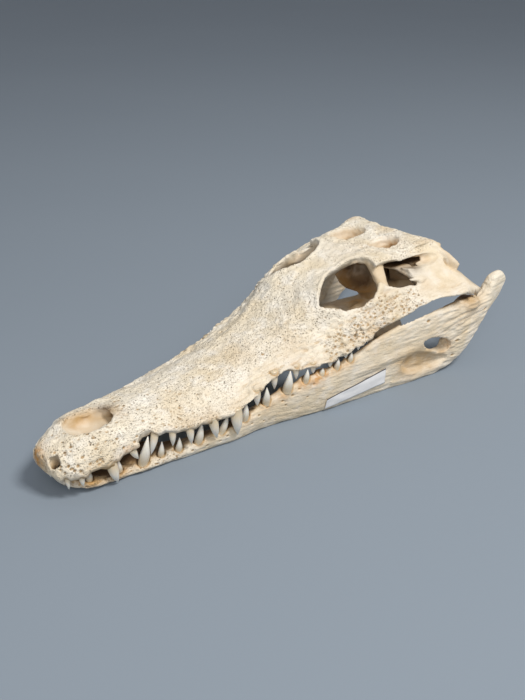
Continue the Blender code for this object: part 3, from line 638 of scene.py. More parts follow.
def lumps(p, size, seed=0):
    """Smooth noise from -1 to 1 whose lumps are about size across, in mm."""
    q = p / np.array(size, float)
    base = np.floor(q)
    share = q - base
    share = share * share * (3 - 2 * share)
    total = np.zeros(len(p))
    for corner in np.ndindex(2, 2, 2):
        corner = np.array(corner)
        weight = np.prod(np.where(corner, share, 1 - share), axis=1)
        total += weight * hashed(base + corner, seed)
    return 2 * total - 1


def scattered(p, size, seed=0):
    """Distance from the nearest of some scattered points, and from their dividing lines."""
    q = p / np.array(size, float)
    base = np.floor(q)
    nearest, second = np.full(len(p), 9.0), np.full(len(p), 9.0)
    for corner in np.ndindex(3, 3, 3):
        cell = base + np.array(corner) - 1
        centre = cell + np.stack([hashed(cell, seed + k) for k in range(3)], axis=1)
        distance = np.linalg.norm(q - centre, axis=1)
        second = np.minimum(second, np.maximum(distance, nearest))
        nearest = np.minimum(nearest, distance)
    return nearest, second - nearest


def fade(value, full, gone):
    """1 at full, 0 at gone, smooth between."""
    t = np.clip((value - gone) / (full - gone), 0, 1)
    return t * t * (3 - 2 * t)


def within(value, low, high, edge):
    return fade(value, low, low - edge) * fade(value, high, high + edge)


def line_distance(a, b, line, closed=False):
    """Distance in a plane from each point (a, b) to a line of points, and the share along it."""
    line = np.array(line, float)
    if closed:
        line = np.vstack([line, line[:1]])
    best, along = np.full(len(a), 1e9), np.zeros(len(a))
    for i in range(len(line) - 1):
        step = line[i + 1] - line[i]
        t = ((a - line[i, 0]) * step[0] + (b - line[i, 1]) * step[1]) / max(step @ step, 1e-9)
        t = np.clip(t, 0, 1)
        d = np.hypot(a - line[i, 0] - t * step[0], b - line[i, 1] - t * step[1])
        closer = d < best
        best = np.where(closer, d, best)
        along = np.where(closer, (i + t) / (len(line) - 1), along)
    return best, along


def blob(p, centre, radius):
    """1 at a point, falling away over a radius in mm."""
    return np.exp(-((p - np.array(centre)) ** 2).sum(axis=1) / radius ** 2)


def read_skin(obj):
    """Places in skull millimetres and outward directions of the points of obj."""
    count = len(obj.data.vertices)
    co, normal = np.empty(count * 3), np.empty(count * 3)
    obj.data.vertices.foreach_get("co", co)
    obj.data.vertex_normals.foreach_get("vector", normal)
    p = co.reshape(-1, 3) / MM
    p[:, 1] -= SNOUT_TIP
    return p, normal.reshape(-1, 3)


def write_skin(obj, p):
    co = p.copy()
    co[:, 1] += SNOUT_TIP
    obj.data.vertices.foreach_set("co", (co * MM).ravel())
    obj.data.update()


def mark(obj, name, values):
    """Keep a number for each point of obj, for its material to read."""
    layer = obj.data.attributes.get(name) or obj.data.attributes.new(name, "FLOAT", "POINT")
    layer.data.foreach_set("value", np.clip(values, 0, 1).astype(np.float32))


def sockets(p, places):
    """The narrow ring sunk round each tooth, and the low collar of bone outside it."""
    socket, rim = np.zeros(len(p)), np.zeros(len(p))
    for base, tip, radius in places:
        base = np.array(base)
        axis = (np.array(tip) - base) / np.linalg.norm(np.array(tip) - base)
        near = np.flatnonzero(np.abs(p - base).max(axis=1) < radius + 5)
        along = (p[near] - base) @ axis
        away = np.linalg.norm(p[near] - base - along[:, None] * axis, axis=1)
        level = np.exp(-(along / 2.4) ** 2)
        socket[near] = np.maximum(socket[near], level * np.exp(-((away - radius - 0.2) / 0.55) ** 2))
        rim[near] = np.maximum(rim[near], level * np.exp(-((away - radius - 1.6) / 0.9) ** 2))
    return socket, rim


SUTURES = [[(0, 47), (0, 100), (0, 150)],
           [(20.5, 47), (15, 55), (10, 66), (7.6, 74), (8.6, 90), (10, 115), (11.5, 138), (8, 150),
            (0, 154)],
           [(11.5, 138), (15, 150), (16.5, 162)],
           [(11.5, 138), (17, 126), (24, 131), (27, 148), (29, 160)],
           [(36, 140), (33, 152), (33, 165)],
           [(0, 206), (6, 205), (9, 210)],
           [(21, 207), (24, 212), (26.5, 216)]]
FOLD = [(25.5, 162), (23, 157.7), (19.8, 150.4), (14.4, 140), (11, 128), (9.5, 112)]
BROW = [(10.5, 190), (13, 178), (17, 168.5), (21.5, 162), (26.5, 164.5), (30.5, 170)]
FORAMINA = [(17.8, 125.3, 38.3, 0.9), (12, 60, 29, 0.6), (21, 88, 28, 0.6), (24.5, 108, 30.5, 0.6),
            (27, 134, 36.5, 0.7), (31, 150, 42.5, 0.6), (14, 100, 33, 0.6), (9, 82, 31.5, 0.5),
            (44, 205.5, 58.5, 0.8), (6, 20, 29, 0.5), (16, 30, 25.5, 0.7), (17.5, 15, 21, 0.6),
            (11.9, 5.1, 19, 0.6), (14.3, 7.9, 18.9, 0.55), (16.7, 11.7, 18.9, 0.7),
            (16.6, 9.9, 16.9, 0.65), (14.1, 6.1, 16.2, 0.6), (15.4, 8.5, 17.8, 0.5),
            (18.9, 17.4, 19, 0.65), (18.5, 13.2, 15.2, 0.5), (4.6, 11, 26.4, 0.55),
            (20.1, 22, 19.2, 0.5)]


def margin_foramina():
    """Small holes in a row above the upper teeth."""
    for number, s in enumerate(np.arange(12, 176, 7.3)):
        shift = math.sin(number * 2.4)
        yield float(half_width(s)) - 0.3, s + 1.5 * shift, float(MARGIN(s)) + 5 + 1.2 * shift, 0.62


class Relief:
    """The relief of a bone as it builds up: each point's lift, and how far it lies in a hole."""

    def __init__(self, p):
        self.p = p
        self.lift, self.raised, self.holes = (np.zeros(len(p)) for _ in range(3))

    def pierce(self, share):
        self.holes = np.maximum(self.holes, share)


class CraniumRelief(Relief):
    """How much each point of the cranium belongs to each kind of surface."""

    def __init__(self, p, n, skin):
        super().__init__(p)
        x, s, z = np.abs(p[:, 0]), p[:, 1], p[:, 2]
        across, rise = x / half_width(s), z - MARGIN(s)
        self.x, self.s, self.z, self.across, self.rise = x, s, z, across, rise
        self.depth = np.array([(skin.find_nearest(place(point))[3] or 0) / MM for point in p])
        self.outside = fade(self.depth, 0.9, 2.0) * fade(n[:, 2], -0.05, -0.5)
        self.table = within(s, 204, 250, 2) * fade(x, 30, 33) * fade(z, 70.5, 68) * fade(n[:, 2], 0.5, 0.1)
        self.side = fade(across, 0.8, 0.62)
        under_eye = 0.7 * within(s, 150, 203, 4) * fade(across, 0.45, 0.6)
        self.snout = np.maximum(within(s, 0, 168, 12), under_eye)
        self.cheek = within(s, 158, 214, 10) * fade(across, 0.84, 0.74) * fade(rise, 2, -1)
        rear = within(s, 205, 246, 8) * fade(across, 0.86, 0.76)
        self.streaky = within(s, 112, 200, 30) * fade(across, 0.8, 0.6) * fade(rise, 13, 19)
        self.streaky = np.maximum(self.streaky, 0.7 * rear)


def swellings(at):
    """The broad and the small unevenness of the bone."""
    rough = 0.45 + 0.55 * np.maximum(at.outside, at.table)
    at.lift += rough * (0.45 * lumps(at.p, 12, 1) + 0.46 * lumps(at.p, (4, 7, 4), 2)
                        + 0.34 * lumps(at.p, (2, 3, 2), 3))


def snout_pits(at):
    near, _ = scattered(at.p * (1, 0.62, 1), 2.0, 10)
    front = 0.55 + 0.45 * fade(at.s, 45, 90)
    patches = 0.6 + 0.5 * lumps(at.p, 8, 4)
    fine = front * at.snout * (1 - 0.7 * at.streaky) * patches * fade(near, 0.1, 0.5)
    at.lift -= at.outside * 0.5 * fine
    near, _ = scattered(at.p * (1, 0.7, 1), 3.8, 14)
    deep = front * at.snout * (1 - 0.6 * at.streaky) * fade(near, 0.06, 0.26)
    at.lift -= at.outside * 0.8 * deep
    at.pierce(at.outside * np.maximum(fine, deep))


def cheek_pits(at):
    near, edge = scattered(at.p * (1, 0.62, 1), 1.9, 20)
    pits = at.cheek * fade(near, 0.14, 0.46)
    at.lift += at.outside * (0.15 * at.cheek * fade(edge, 0.0, 0.4) - 0.6 * pits)
    at.pierce(at.outside * pits)


def table_pits(at):
    near, edge = scattered(at.p, 2.6, 30)
    pits = fade(near, 0.1, 0.42) * (0.45 + 0.45 * lumps(at.p, 9, 33))
    at.lift += at.table * (0.15 * fade(edge, 0.0, 0.4) - 0.6 * pits)
    at.lift += at.table * 0.6 * lumps(at.p, 6.5, 31)
    at.pierce(at.table * pits)


def long_grain(at):
    """The fine ridges that run along the face."""
    grain = lumps(at.p, (1.3, 9, 1.3), 40) + 0.6 * lumps(at.p, (0.8, 5, 0.8), 41)
    at.lift += at.outside * (0.55 * at.streaky + 0.24 * at.side * at.snout) * grain
    at.lift += 0.14 * (1 - at.outside) * grain
    at.pierce(at.outside * at.streaky * fade(grain, -0.7, -0.2) * 0.5)


def seams(at):
    """The seams between the bones, as shallow wavy grooves."""
    for number, line in enumerate(SUTURES):
        wobble = 0.5 * lumps(at.p, 2.2, 50 + number)
        d, _ = line_distance(at.x + wobble, at.s + wobble, line)
        at.lift -= np.maximum(at.outside, at.table) * 0.22 * np.exp(-(d / 0.45) ** 2)


def folds(at):
    """The fold in front of the eye, the brow, and the rim of the eye opening."""
    for inwards, back, height, width in ((0, 0, 0.75, 2.6), (4.6, 1.0, -0.55, 2.4)):
        d, along = line_distance(at.x - inwards, at.s + back, FOLD)
        taper = np.sin(math.pi * np.clip(along, 0.02, 1)) ** 0.5
        at.lift += at.outside * (height * np.exp(-(d / width) ** 2)) * taper
    d, _ = line_distance(at.x, at.s, BROW)
    at.lift += at.outside * 0.7 * np.exp(-(d / 2.2) ** 2)
    d, _ = line_distance(at.x, at.s, [(q[0], q[1]) for q in closed_spline(ORBIT, 60)], closed=True)
    at.lift += at.outside * 0.35 * np.exp(-(d / 1.6) ** 2)


def vessel_holes(at):
    for x, s, z, radius in FORAMINA + list(margin_foramina()):
        d = np.sqrt((at.x - x) ** 2 + ((at.s - s) * 0.8) ** 2 + (0.8 * (at.z - z)) ** 2)
        dent = at.outside * fade(d, 0.4 * radius, 1.35 * radius)
        at.lift -= 1.5 * radius * dent
        at.pierce(dent)


def upper_sockets(at):
    socket, rim = sockets(at.p, upper_places())
    at.lift += rim * 0.5 - socket * 0.7
    at.pierce(socket)


def tooth_row(at):
    """The swelling beside each tooth, and the raised margin between them."""
    low = fade(at.rise, 0.5, 4.5) * fade(at.across, 0.82, 0.62) * within(at.s, 0, 186, 3)
    teeth = near_teeth(at.s, UPPER_TEETH, 1.1)
    at.lift += low * (teeth - 0.3)
    at.raised += low * fade(at.rise, 0.5, 2.5) * (1 - teeth) * 0.3


def finish_cranium():
    bone, skin = cranium_bone()
    p, n = read_skin(bone)
    at = CraniumRelief(p, n, skin)
    for relief in (swellings, snout_pits, cheek_pits, table_pits, long_grain, seams, folds,
                   vessel_holes, upper_sockets, tooth_row):
        relief(at)
    p = p + n * at.lift[:, None]
    p[:, 2] += at.raised
    write_skin(bone, p)
    mark(bone, "pitting", np.maximum.reduce([at.outside * at.snout * (1 - 0.6 * at.streaky),
                                             at.outside * at.cheek, at.table, 0.3 * at.outside]))
    mark(bone, "streaks", at.outside * at.streaky)
    mark(bone, "holes", at.holes)
    # Below the uncut skin: the inner walls of the openings, which the material paints tan as shade.
    mark(bone, "inner", 1 - fade(at.depth, 1.0, 3.0))
    shown = np.maximum(at.outside, fade(p[:, 2], 64, 58) * fade(p[:, 1], 200, 196))
    thin_out(bone, CRANIUM_TRIANGLES, 1 - 0.6 * shown)
    return bone


# ---------------------------------------------------------------- lower jaws

LOWER_TEETH = [(10.8, 5, 1.6, 0.3), (18.5, 5, 1.6, 0.3), (34.3, 6.9, 1.7, -0.6), (46.6, 14.2, 2.6, 2.7),
               (56.8, 7.8, 1.7, 0.4), (66, 7, 1.8, 0.2), (76.7, 10.8, 2.2, 1.7), (90, 8.4, 2.0, 3.6),
               (104, 9.5, 2.1, 0.3), (117.5, 9, 2.1, -0.4), (130, 11, 2.6, 0.9), (141, 6.2, 1.8, 0.4),
               (151, 2.4, 1.7, 0.2), (160.5, 5, 1.7, 0.4), (169.2, 4.5, 1.6, 0.4)]
LOWER_TOOTH_INSET = 3.0
JAW_OUTER = guide((8, 12.5), (15, 15.5), (25, 17), (38, 17.8), (46, 20.2), (54, 20.6), (66, 22.8),
                  (80, 25.6), (95, 28.2), (105, 29.3), (118, 31), (130, 33.8), (143, 37.2),
                  (155, 39.7), (175, 43.5), (200, 47.5), (220, 51.5), (240, 55.5), (255, 58.5),
                  (268, 57.5), (292, 55))
JAW_INNER = guide((7.4, 0.15), (52, 0.15), (60, 4.5), (70, 11), (80, 15), (95, 19), (118, 23),
                  (143, 29), (165, 34), (200, 41), (240, 47), (255, 46.5), (292, 49.5))
JAW_TOP = guide((7.4, 8), (10, 9), (18, 7.5), (32, 5.2), (41, 6), (61, 6.2), (72, 7), (83, 8.6),
                (96, 10), (111, 14.6), (125, 19.8), (136, 22.5), (148, 25.4), (161, 26.6),
                (171, 28.9), (181, 32.7), (198, 38), (212, 40.6), (243, 42.8), (254, 44),
                (260, 43.5), (267, 40.8), (271.5, 41.5), (276, 46), (281, 51.3), (286.5, 52.2),
                (292, 48))
JAW_BOTTOM = guide((7.4, 4), (10, 2.2), (16, 1), (28, 0), (45, -0.7), (225, -0.7), (238, 1),
                   (246, 3.8), (252, 7), (259, 12.5), (268, 20.5), (277, 28), (286, 34), (292, 43))
JAW_LEAN = guide((7.4, 0), (52, 0), (70, 0.8), (118, 1), (288, 0))
# Where the section is tallest, as a share of the way out from its inner face.
JAW_CROWN = guide((7.4, 0.05), (50, 0.05), (66, 0.5), (292, 0.5))
JAW_START = 7.4
JAW_END = 292.0
JAW_FRONT_LENGTH = 13.0     # over which the front of the jaw rounds in


def jaw_half_width(s):
    return JAW_OUTER(s) * nose_round(s - JAW_START + NOSE_SETBACK, JAW_FRONT_LENGTH)


def jaw_ring(s):
    outer, inner = float(jaw_half_width(s)), float(JAW_INNER(s))
    top, bottom, lean = float(JAW_TOP(s)), float(JAW_BOTTOM(s)), float(JAW_LEAN(s))
    middle = inner + float(JAW_CROWN(s)) * (outer - inner)
    centre, rise = (top + bottom) / 2, (top - bottom) / 2
    ring = []
    for t in np.linspace(0, 2 * math.pi, 64, endpoint=False):
        v, out = rounded(math.sin(t), 2.8), rounded(math.cos(t), 2.8)
        reach = outer - middle if out > 0 else middle - inner
        ring.append((middle + reach * out + lean * v, s, centre + rise * v))
    return ring


def jaw_shell(bm):
    nose = [JAW_START + step for step in (0.1, 0.5, 1.2, 2.2, 3.6, 5.5)]
    loft(bm, [jaw_ring(s) for s in nose + list(stations(14.5, JAW_END))])


def jaw_window(bm):
    """The oval window through the outer side of the lower jaw."""
    prism(bm, [(53, 219.6, 25.2), (53, 224.5, 26.8), (53, 232.6, 25.2), (53, 238.8, 21.6), (53, 240.6, 18),
               (53, 238.2, 14.8), (53, 232.8, 15.6), (53, 226.2, 18.4), (53, 220.8, 22.2)],
          (1, 0, 0), -8, 14)


def jaw_fossa(bm):
    """The trough inside the rear of the lower jaw, open inwards and upwards."""
    beam(bm, [(40, 196, 34), (42.5, 210, 28), (44.2, 226, 26), (45.8, 238, 30), (46.5, 247, 36)],
         [(3, 4), (4, 11), (4.5, 13), (4.4, 11), (3, 5)], power=3)


def jaw_fossa_mouth(bm):
    beam(bm, [(45, 204, 42), (47.5, 222, 42), (49, 238, 43)], [(1.5, 6), (2, 12), (1.5, 8)])


def jaw_joint(bm):
    """The widened socket of the jaw joint."""
    beam(bm, [(52.5, 250, 38), (52.5, 257, 39), (52, 263, 37.5)], [(5.5, 5), (6.8, 5), (5.5, 4)])


def lower_places():
    for s, height, radius, lean in LOWER_TEETH:
        x = float(jaw_half_width(s)) + float(JAW_LEAN(s)) - LOWER_TOOTH_INSET
        z = float(JAW_TOP(s)) - 0.6
        yield (x, s, z), (x + 0.12 * height, s + lean, z + height), radius


FOSSA = [(204, 14.5), (208, 18.6), (214.5, 20.4), (222, 19), (231, 15.2), (238.5, 12.4), (239, 8.2),
         (232, 5.4), (221, 4.2), (211.5, 5.8), (205.5, 9.6)]
JAW_GROOVES = [[(271.8, 32.4), (254.3, 33.6), (245.1, 32.2), (236.3, 29.1), (231.2, 27.5)],
               [(263.1, 33.7), (251.5, 31.3), (242.5, 28.9), (235.2, 26.1)],
               [(266, 36.6), (250, 36.8), (238, 34), (228, 32)],
               [(262, 27), (250, 24.4), (240, 21)]]
JAW_RIDGE = [(219, 24.6), (211, 22.4), (203, 21.6), (194.3, 20.8), (185.5, 20.2), (170, 18)]
JAW_RIDGE_FOOT = 21         # the hollow under the ridge lies below this height
JAW_INNER_GROOVE = [(62, 3.5), (90, 5.5), (120, 10), (150, 15), (190, 21)]
JAW_SEAM_HALF = 0.12        # half the seam left between the two jaws
JAW_LOWER_LINE = [(236, 6), (230.3, 3.6), (219.8, 2.2), (210.7, 2.6), (199.5, 4.2)]
JAW_FORAMINA = [(270.4, 32.9, 0.9), (244.9, 19.9, 0.8), (243.4, 10.4, 0.7), (222.1, 37.9, 0.8)]


def dentary_foramina():
    """Two rows of small holes along the outer side of the toothed part of the jaw."""
    for number, s in enumerate(np.arange(16, 150, 6.4)):
        shift = math.sin(number * 1.9)
        yield s + 1.6 * shift, float(JAW_TOP(s)) - 4.2 - 0.8 * shift, 0.55
        if number % 2:
            yield s + 3, float(JAW_TOP(s)) - 8.5 + shift, 0.5


def inside_loop(a, b, loop):
    """1 for points (a, b) inside a closed loop."""
    loop = np.array(loop, float)
    crossings = np.zeros(len(a), int)
    for start, end in zip(loop, np.roll(loop, -1, axis=0)):
        spans = (start[1] > b) != (end[1] > b)
        rise = end[1] - start[1] if end[1] != start[1] else 1e-9
        crossings += spans & (a < (end[0] - start[0]) * (b - start[1]) / rise + start[0])
    return crossings % 2


class JawRelief(Relief):
    """The outer side of the left jaw, and the front of it, which is pitted like the snout."""

    def __init__(self, p, n):
        super().__init__(p)
        self.x, self.s, self.z = p[:, 0], p[:, 1], p[:, 2]
        self.outside = fade(n[:, 0], 0.3, -0.1) * fade(jaw_half_width(self.s) - self.x, 3.0, 6.0)
        self.inside = fade(-n[:, 0], 0.3, -0.1)
        self.front = within(self.s, 4, 60, 20) * self.outside


def jaw_grain(at):
    at.lift += 0.3 * lumps(at.p, 14, 61) + 0.16 * lumps(at.p, (5, 8, 5), 62)
    grain = lumps(at.p, (1.3, 16, 1.3), 63) + 0.6 * lumps(at.p, (0.8, 9, 0.8), 64)
    at.lift += (0.2 + 0.16 * within(at.s, 232, 275, 12)) * grain


def jaw_lines(at):
    """The grooves, ridges and hollow on the outer side."""
    for number, line in enumerate(JAW_GROOVES):
        d, along = line_distance(at.s, at.z + 0.25 * lumps(at.p, 4, 70 + number), line)
        taper = np.sin(math.pi * np.clip(along, 0.04, 0.96)) ** 0.6
        groove = at.outside * taper * np.exp(-d ** 2)
        at.lift -= 0.55 * groove
        at.pierce(0.45 * groove)
    d, along = line_distance(at.s, at.z, JAW_RIDGE)
    taper = np.sin(math.pi * np.clip(along, 0.03, 0.97)) ** 0.5
    at.lift += at.outside * 1.1 * taper * np.exp(-(d / 3.4) ** 2)
    below = at.z < JAW_RIDGE_FOOT
    at.lift -= at.outside * 0.5 * taper * np.exp(-((d - 4.2) / 2.8) ** 2) * below
    d, _ = line_distance(at.s, at.z, JAW_LOWER_LINE)
    at.lift += at.outside * 0.5 * np.exp(-(d / 1.4) ** 2)
    loop = [(q[0], q[1]) for q in closed_spline([(a, b, 0) for a, b in FOSSA], 60)]
    d, _ = line_distance(at.s, at.z, loop, closed=True)
    sunk = inside_loop(at.s, at.z, loop) * fade(d, 3.4, 0)
    at.lift -= at.outside * 2.9 * sunk


def jaw_holes(at):
    """The holes for vessels, and the sockets."""
    for s, z, radius in JAW_FORAMINA + list(dentary_foramina()):
        d = np.hypot((at.s - s) * 0.55, at.z - z)
        dent = at.outside * fade(d, 0.35 * radius, 1.3 * radius)
        at.lift -= 1.7 * radius * dent
        at.pierce(dent)
    socket, rim = sockets(at.p, lower_places())
    at.lift += rim * 0.4 - socket * 0.7
    at.pierce(socket)


def jaw_edges(at):
    """The swelling beside each tooth, and the long groove on the inner side."""
    row = fade(JAW_TOP(at.s) - at.z, 1.0, 4.5) * within(at.s, 8, 176, 3)
    row *= fade(at.x - JAW_INNER(at.s), 3, 1)
    at.lift += row * (0.9 * near_teeth(at.s, LOWER_TEETH, 1.1) - 0.45)
    d, _ = line_distance(at.s, at.z, JAW_INNER_GROOVE)
    at.lift -= at.inside * 0.9 * np.exp(-(d / 1.3) ** 2)


def jaw_pits(at):
    """Pits at the front, and short scratches behind them."""
    near, _ = scattered(at.p, 2.6, 80)
    at.lift -= at.front * 0.4 * fade(near, 0.1, 0.42)
    at.pierce(at.front * fade(near, 0.1, 0.42))
    near, _ = scattered(at.p * (1, 0.4, 1), 2.0, 84)
    scratches = at.outside * (1 - at.front) * fade(near, 0.1, 0.36)
    at.lift -= 0.22 * scratches
    at.pierce(0.4 * scratches)


def finish_jaw():
    shell = solid("jaw", jaw_shell)
    cutters = [solid("cutter", make) for make in (jaw_window, jaw_fossa, jaw_fossa_mouth)]
    cut_away(shell, *cutters)
    for cutter in cutters:
        bpy.data.objects.remove(cutter)
    bone = fused("jaw_bone_left", [shell, solid("joint", jaw_joint)], 3)
    p, n = read_skin(bone)
    at = JawRelief(p, n)
    for relief in (jaw_grain, jaw_lines, jaw_holes, jaw_edges, jaw_pits):
        relief(at)
    flat = within(p[:, 1], 8, 56, 1) * fade(p[:, 0], 0.4, 1.0)
    p = p + n * (at.lift * (1 - flat))[:, None]
    p[:, 2] = np.maximum(p[:, 2], 0.0)
    p[:, 0] = np.maximum(p[:, 0], JAW_SEAM_HALF)
    write_skin(bone, p)
    mark(bone, "pitting", 0.25 + 0.6 * at.front)
    mark(bone, "streaks", at.outside * (1 - at.front))
    mark(bone, "holes", at.holes)
    # The side facing the other jaw, which the material paints tan as shade.
    mark(bone, "inner", 0.8 * fade(n[:, 0], -0.2, 0.2))
    thin_out(bone, JAW_TRIANGLES, 1 - 0.6 * at.outside)
    return bone


def other_side(obj, name):
    """A mirror image of obj as an object of its own."""
    bm = bmesh.new()
    bm.from_mesh(obj.data)
    bmesh.ops.scale(bm, vec=(-1, 1, 1), verts=bm.verts)
    bmesh.ops.reverse_faces(bm, faces=bm.faces)
    return make_object(name, bm)


# ---------------------------------------------------------------- teeth and tag

ROOT_DEPTH = 2.2
CROWN = guide((0, 1.0), (0.24, 1.03), (0.4, 0.97), (0.6, 0.76), (0.8, 0.46), (0.93, 0.2), (1, 0.07))


def tooth(bm, base, tip, radius, layer):
    """A curved pointed crown with a keel before and behind, and a root in the jaw."""
    base, tip = np.array(base, float), np.array(tip, float)
    axis = tip - base
    height = np.linalg.norm(axis)
    root = base - axis / height * ROOT_DEPTH
    bow = np.array([math.copysign(0.07, base[0]), -0.04, 0.0]) * height
    share = ROOT_DEPTH / (ROOT_DEPTH + height)
    path = [root, base, base + 0.5 * axis + bow, tip]
    middle = spline(path, 16)
    along = np.gradient(middle, axis=0)
    reach = np.linalg.norm(middle - root, axis=1) / (ROOT_DEPTH + height)
    rings, marks = [], []
    for centre, ahead, u in zip(middle, along, reach):
        side = np.cross(ahead, (0, 1, 0))
        side /= np.linalg.norm(side)
        rise = np.cross(side, ahead)
        rise /= np.linalg.norm(rise)
        size = radius * float(CROWN(min(u, 1.0)))
        ring = []
        for t in np.linspace(0, 2 * math.pi, 20, endpoint=False):
            keel = 1 + 0.1 * abs(math.sin(t)) ** 10 * min(1, 3 * u)
            ring.append(centre + side * size * 0.92 * math.cos(t) + rise * size * keel * math.sin(t))
        rings.append(ring)
        marks.append(float(np.clip((u - share) / (1 - share), 0, 1)))
    loft(bm, rings, marks, layer)


def teeth(name, places):
    bm = bmesh.new()
    layer = bm.verts.layers.float.new("crown")
    for base, tip, radius in places:
        tooth(bm, base, tip, radius, layer)
    return make_object(name, bm)


TAG_FRONT, TAG_BACK = 152.5, 193.0
TAG_LOW = guide((152, 2.2), (193, 6.6))
TAG_HIGH = guide((152, 8.4), (193, 15.9))
TAG_THICKNESS = 0.3
TAG_CLEARANCE = 0.25
TAG_CURL = 2.5              # how fast its ends lift, per share of its length
TAG_CURL_START = 0.9


def paper_tag(jaw):
    """A blank strip of paper that follows the outer side of the jaw, just clear of it."""
    bpy.context.view_layer.update()
    surface = BVHTree.FromObject(jaw, bpy.context.evaluated_depsgraph_get())
    bm = bmesh.new()
    bm.loops.layers.uv.new("UVMap")
    bmesh.ops.create_grid(bm, x_segments=60, y_segments=12, size=0.5, calc_uvs=True)
    for vert in bm.verts:
        u, v = vert.co.x + 0.5, vert.co.y + 0.5
        s = TAG_FRONT + u * (TAG_BACK - TAG_FRONT)
        low, high = float(TAG_LOW(s)), float(TAG_HIGH(s))
        start = place((90, s, low + v * (high - low)))
        hit = surface.ray_cast(start, Vector((-1, 0, 0)))[0]
        curl = TAG_CURL * max(0.0, abs(2 * u - 1) - TAG_CURL_START) * v
        vert.co = hit + Vector(((TAG_CLEARANCE + curl) * MM, 0, 0))
    for _ in range(6):
        bmesh.ops.smooth_vert(bm, verts=bm.verts, factor=0.5, use_axis_x=True)
    sheet = bm.faces[:]
    bmesh.ops.recalc_face_normals(bm, faces=sheet)
    bmesh.ops.solidify(bm, geom=sheet, thickness=-TAG_THICKNESS * MM)
    return make_object("paper_tag", bm)


# ---------------------------------------------------------------- stains and painted shade

# Tan and rust coloured places: centre, radius and strength, on the animal's own left and right.
TAN_SPOTS = [((0, 1.0, 18), 6, 0.7), ((2, 205, 54), 14, 0.9), ((8, 216, 45), 12, 0.8),
             ((0, 220, 33), 14, 0.7), ((-30, 205, 55), 9, 0.45), ((14, 20, 10), 7, 0.7),
             ((-8.8, 20, 26), 3.5, 0.7), ((-9.4, 27, 25.5), 3.5, 0.7), ((-8.5, 34, 26), 3.5, 0.8),
             ((-7, 22, 24.5), 4.5, 0.6), ((-7, 30, 25), 4.5, 0.6), ((0, 40, 25.5), 6.5, 1.0),
             ((0, 28, 22.5), 7, 0.3), ((16.5, 20, 10), 6, 0.9), ((17.5, 33, 9), 7, 0.9),
             ((10, 10, 9), 5, 0.6), ((50, 213, 12), 9, 0.6), ((52, 226, 12), 9, 0.65),
             ((51, 206, 15), 7, 0.5), ((54, 237, 18), 5, 0.6), ((28, 82, 15), 6, 0.8),
             ((26, 74, 14), 7, 0.6), ((53, 262, 44), 9, 0.6), ((42, 182, 40), 7, 0.4),
             ((25, 60, 8), 8, 0.4), ((13, 226, 66), 7.5, 0.75), ((18, 45, 14), 6, 0.7),
             ((17, 27, 8), 8, 0.5), ((55, 252, 42), 7, 0.5), ((-16, 222, 66), 8, 0.75),
             ((48, 224, 60), 5, 0.3), ((22, 70, 28), 9, 0.18), ((8, 118, 38), 9, 0.2),
             ((24, 140, 42), 8, 0.22), ((50, 190, 22), 46, 0.24), ((40, 120, 10), 40, 0.24),
             ((55, 252, 32), 36, 0.2), ((40, 238, 62), 22, 0.14), ((36, 190, 46), 16, 0.14)]
RUST_SPOTS = [((-3, 2, 18.5), 5, 0.8), ((1.6, 204, 56), 7, 0.6), ((8, 214, 46), 8, 0.6),
              ((11, 211, 51), 4, 0.6), ((4, 206, 44), 4, 0.6), ((15, 231, 70), 4, 0.7),
              ((-6, 219, 32), 8, 0.4), ((14.8, 18.3, 9), 5, 0.45), ((15, 36, 9), 6, 0.45),
              ((20, 38, 17), 3.5, 0.4), ((38, 147, 25), 4, 0.9), ((39, 152, 26), 3.5, 0.8),
              ((35.5, 138, 22.5), 4, 0.6), ((33, 126, 19.5), 4, 0.5), ((40.5, 158.5, 27), 3.5, 0.8),
              ((41.5, 166, 28), 3.5, 0.5), ((12, 232.5, 67), 4.5, 1.0), ((-4.5, 1.2, 19), 4, 0.5),
              ((29, 104, 12.5), 4, 0.4), ((15, 46, 7), 5, 0.4), ((54.5, 237, 18.5), 3, 0.6),
              ((47.6, 190, 40), 4, 0.25), ((30.5, 116, 16.5), 4, 0.4), ((38, 145, 20), 3.5, 0.4)]
# Painted shade, nearly black: spots deep inside the eye openings, the nostrils and under the skull table.
SHADE_SPOTS = [((-3, 40, 27.5), 4, 0.9), ((9, 209, 57), 6.5, 0.95), ((6, 207, 49), 9, 0.6),
              ((20, 225, 52), 9, 0.5), ((36, 213, 62), 5, 0.5), ((0, 38.5, 26), 4, 0.35),
              ((2, 205, 61), 4.5, 0.8), ((13, 214, 52), 5, 0.6), ((34, 226, 65), 5, 0.7),
              ((30, 218, 66), 4, 0.5)]


def even_out(obj, values, rounds):
    """Average a number over neighbouring points."""
    edges = np.empty(len(obj.data.edges) * 2, int)
    obj.data.edges.foreach_get("vertices", edges)
    a, b = edges[0::2], edges[1::2]
    count = len(values)
    degree = np.bincount(a, minlength=count) + np.bincount(b, minlength=count) + 1
    for _ in range(rounds):
        total = np.bincount(a, values[b], count) + np.bincount(b, values[a], count) + values
        values = total / degree
    return values


FAR = 0.07                  # reach of the rays that tell how enclosed a place is
NEARBY = 0.006              # nearer than this, a ray's hit makes the place a crevice, which is coloured with dirt and painted shade
GOLDEN_TURN = 2.399963      # from one ray to the next, in radians
RAY_START = 0.25            # how far off the skin a ray starts, in mm


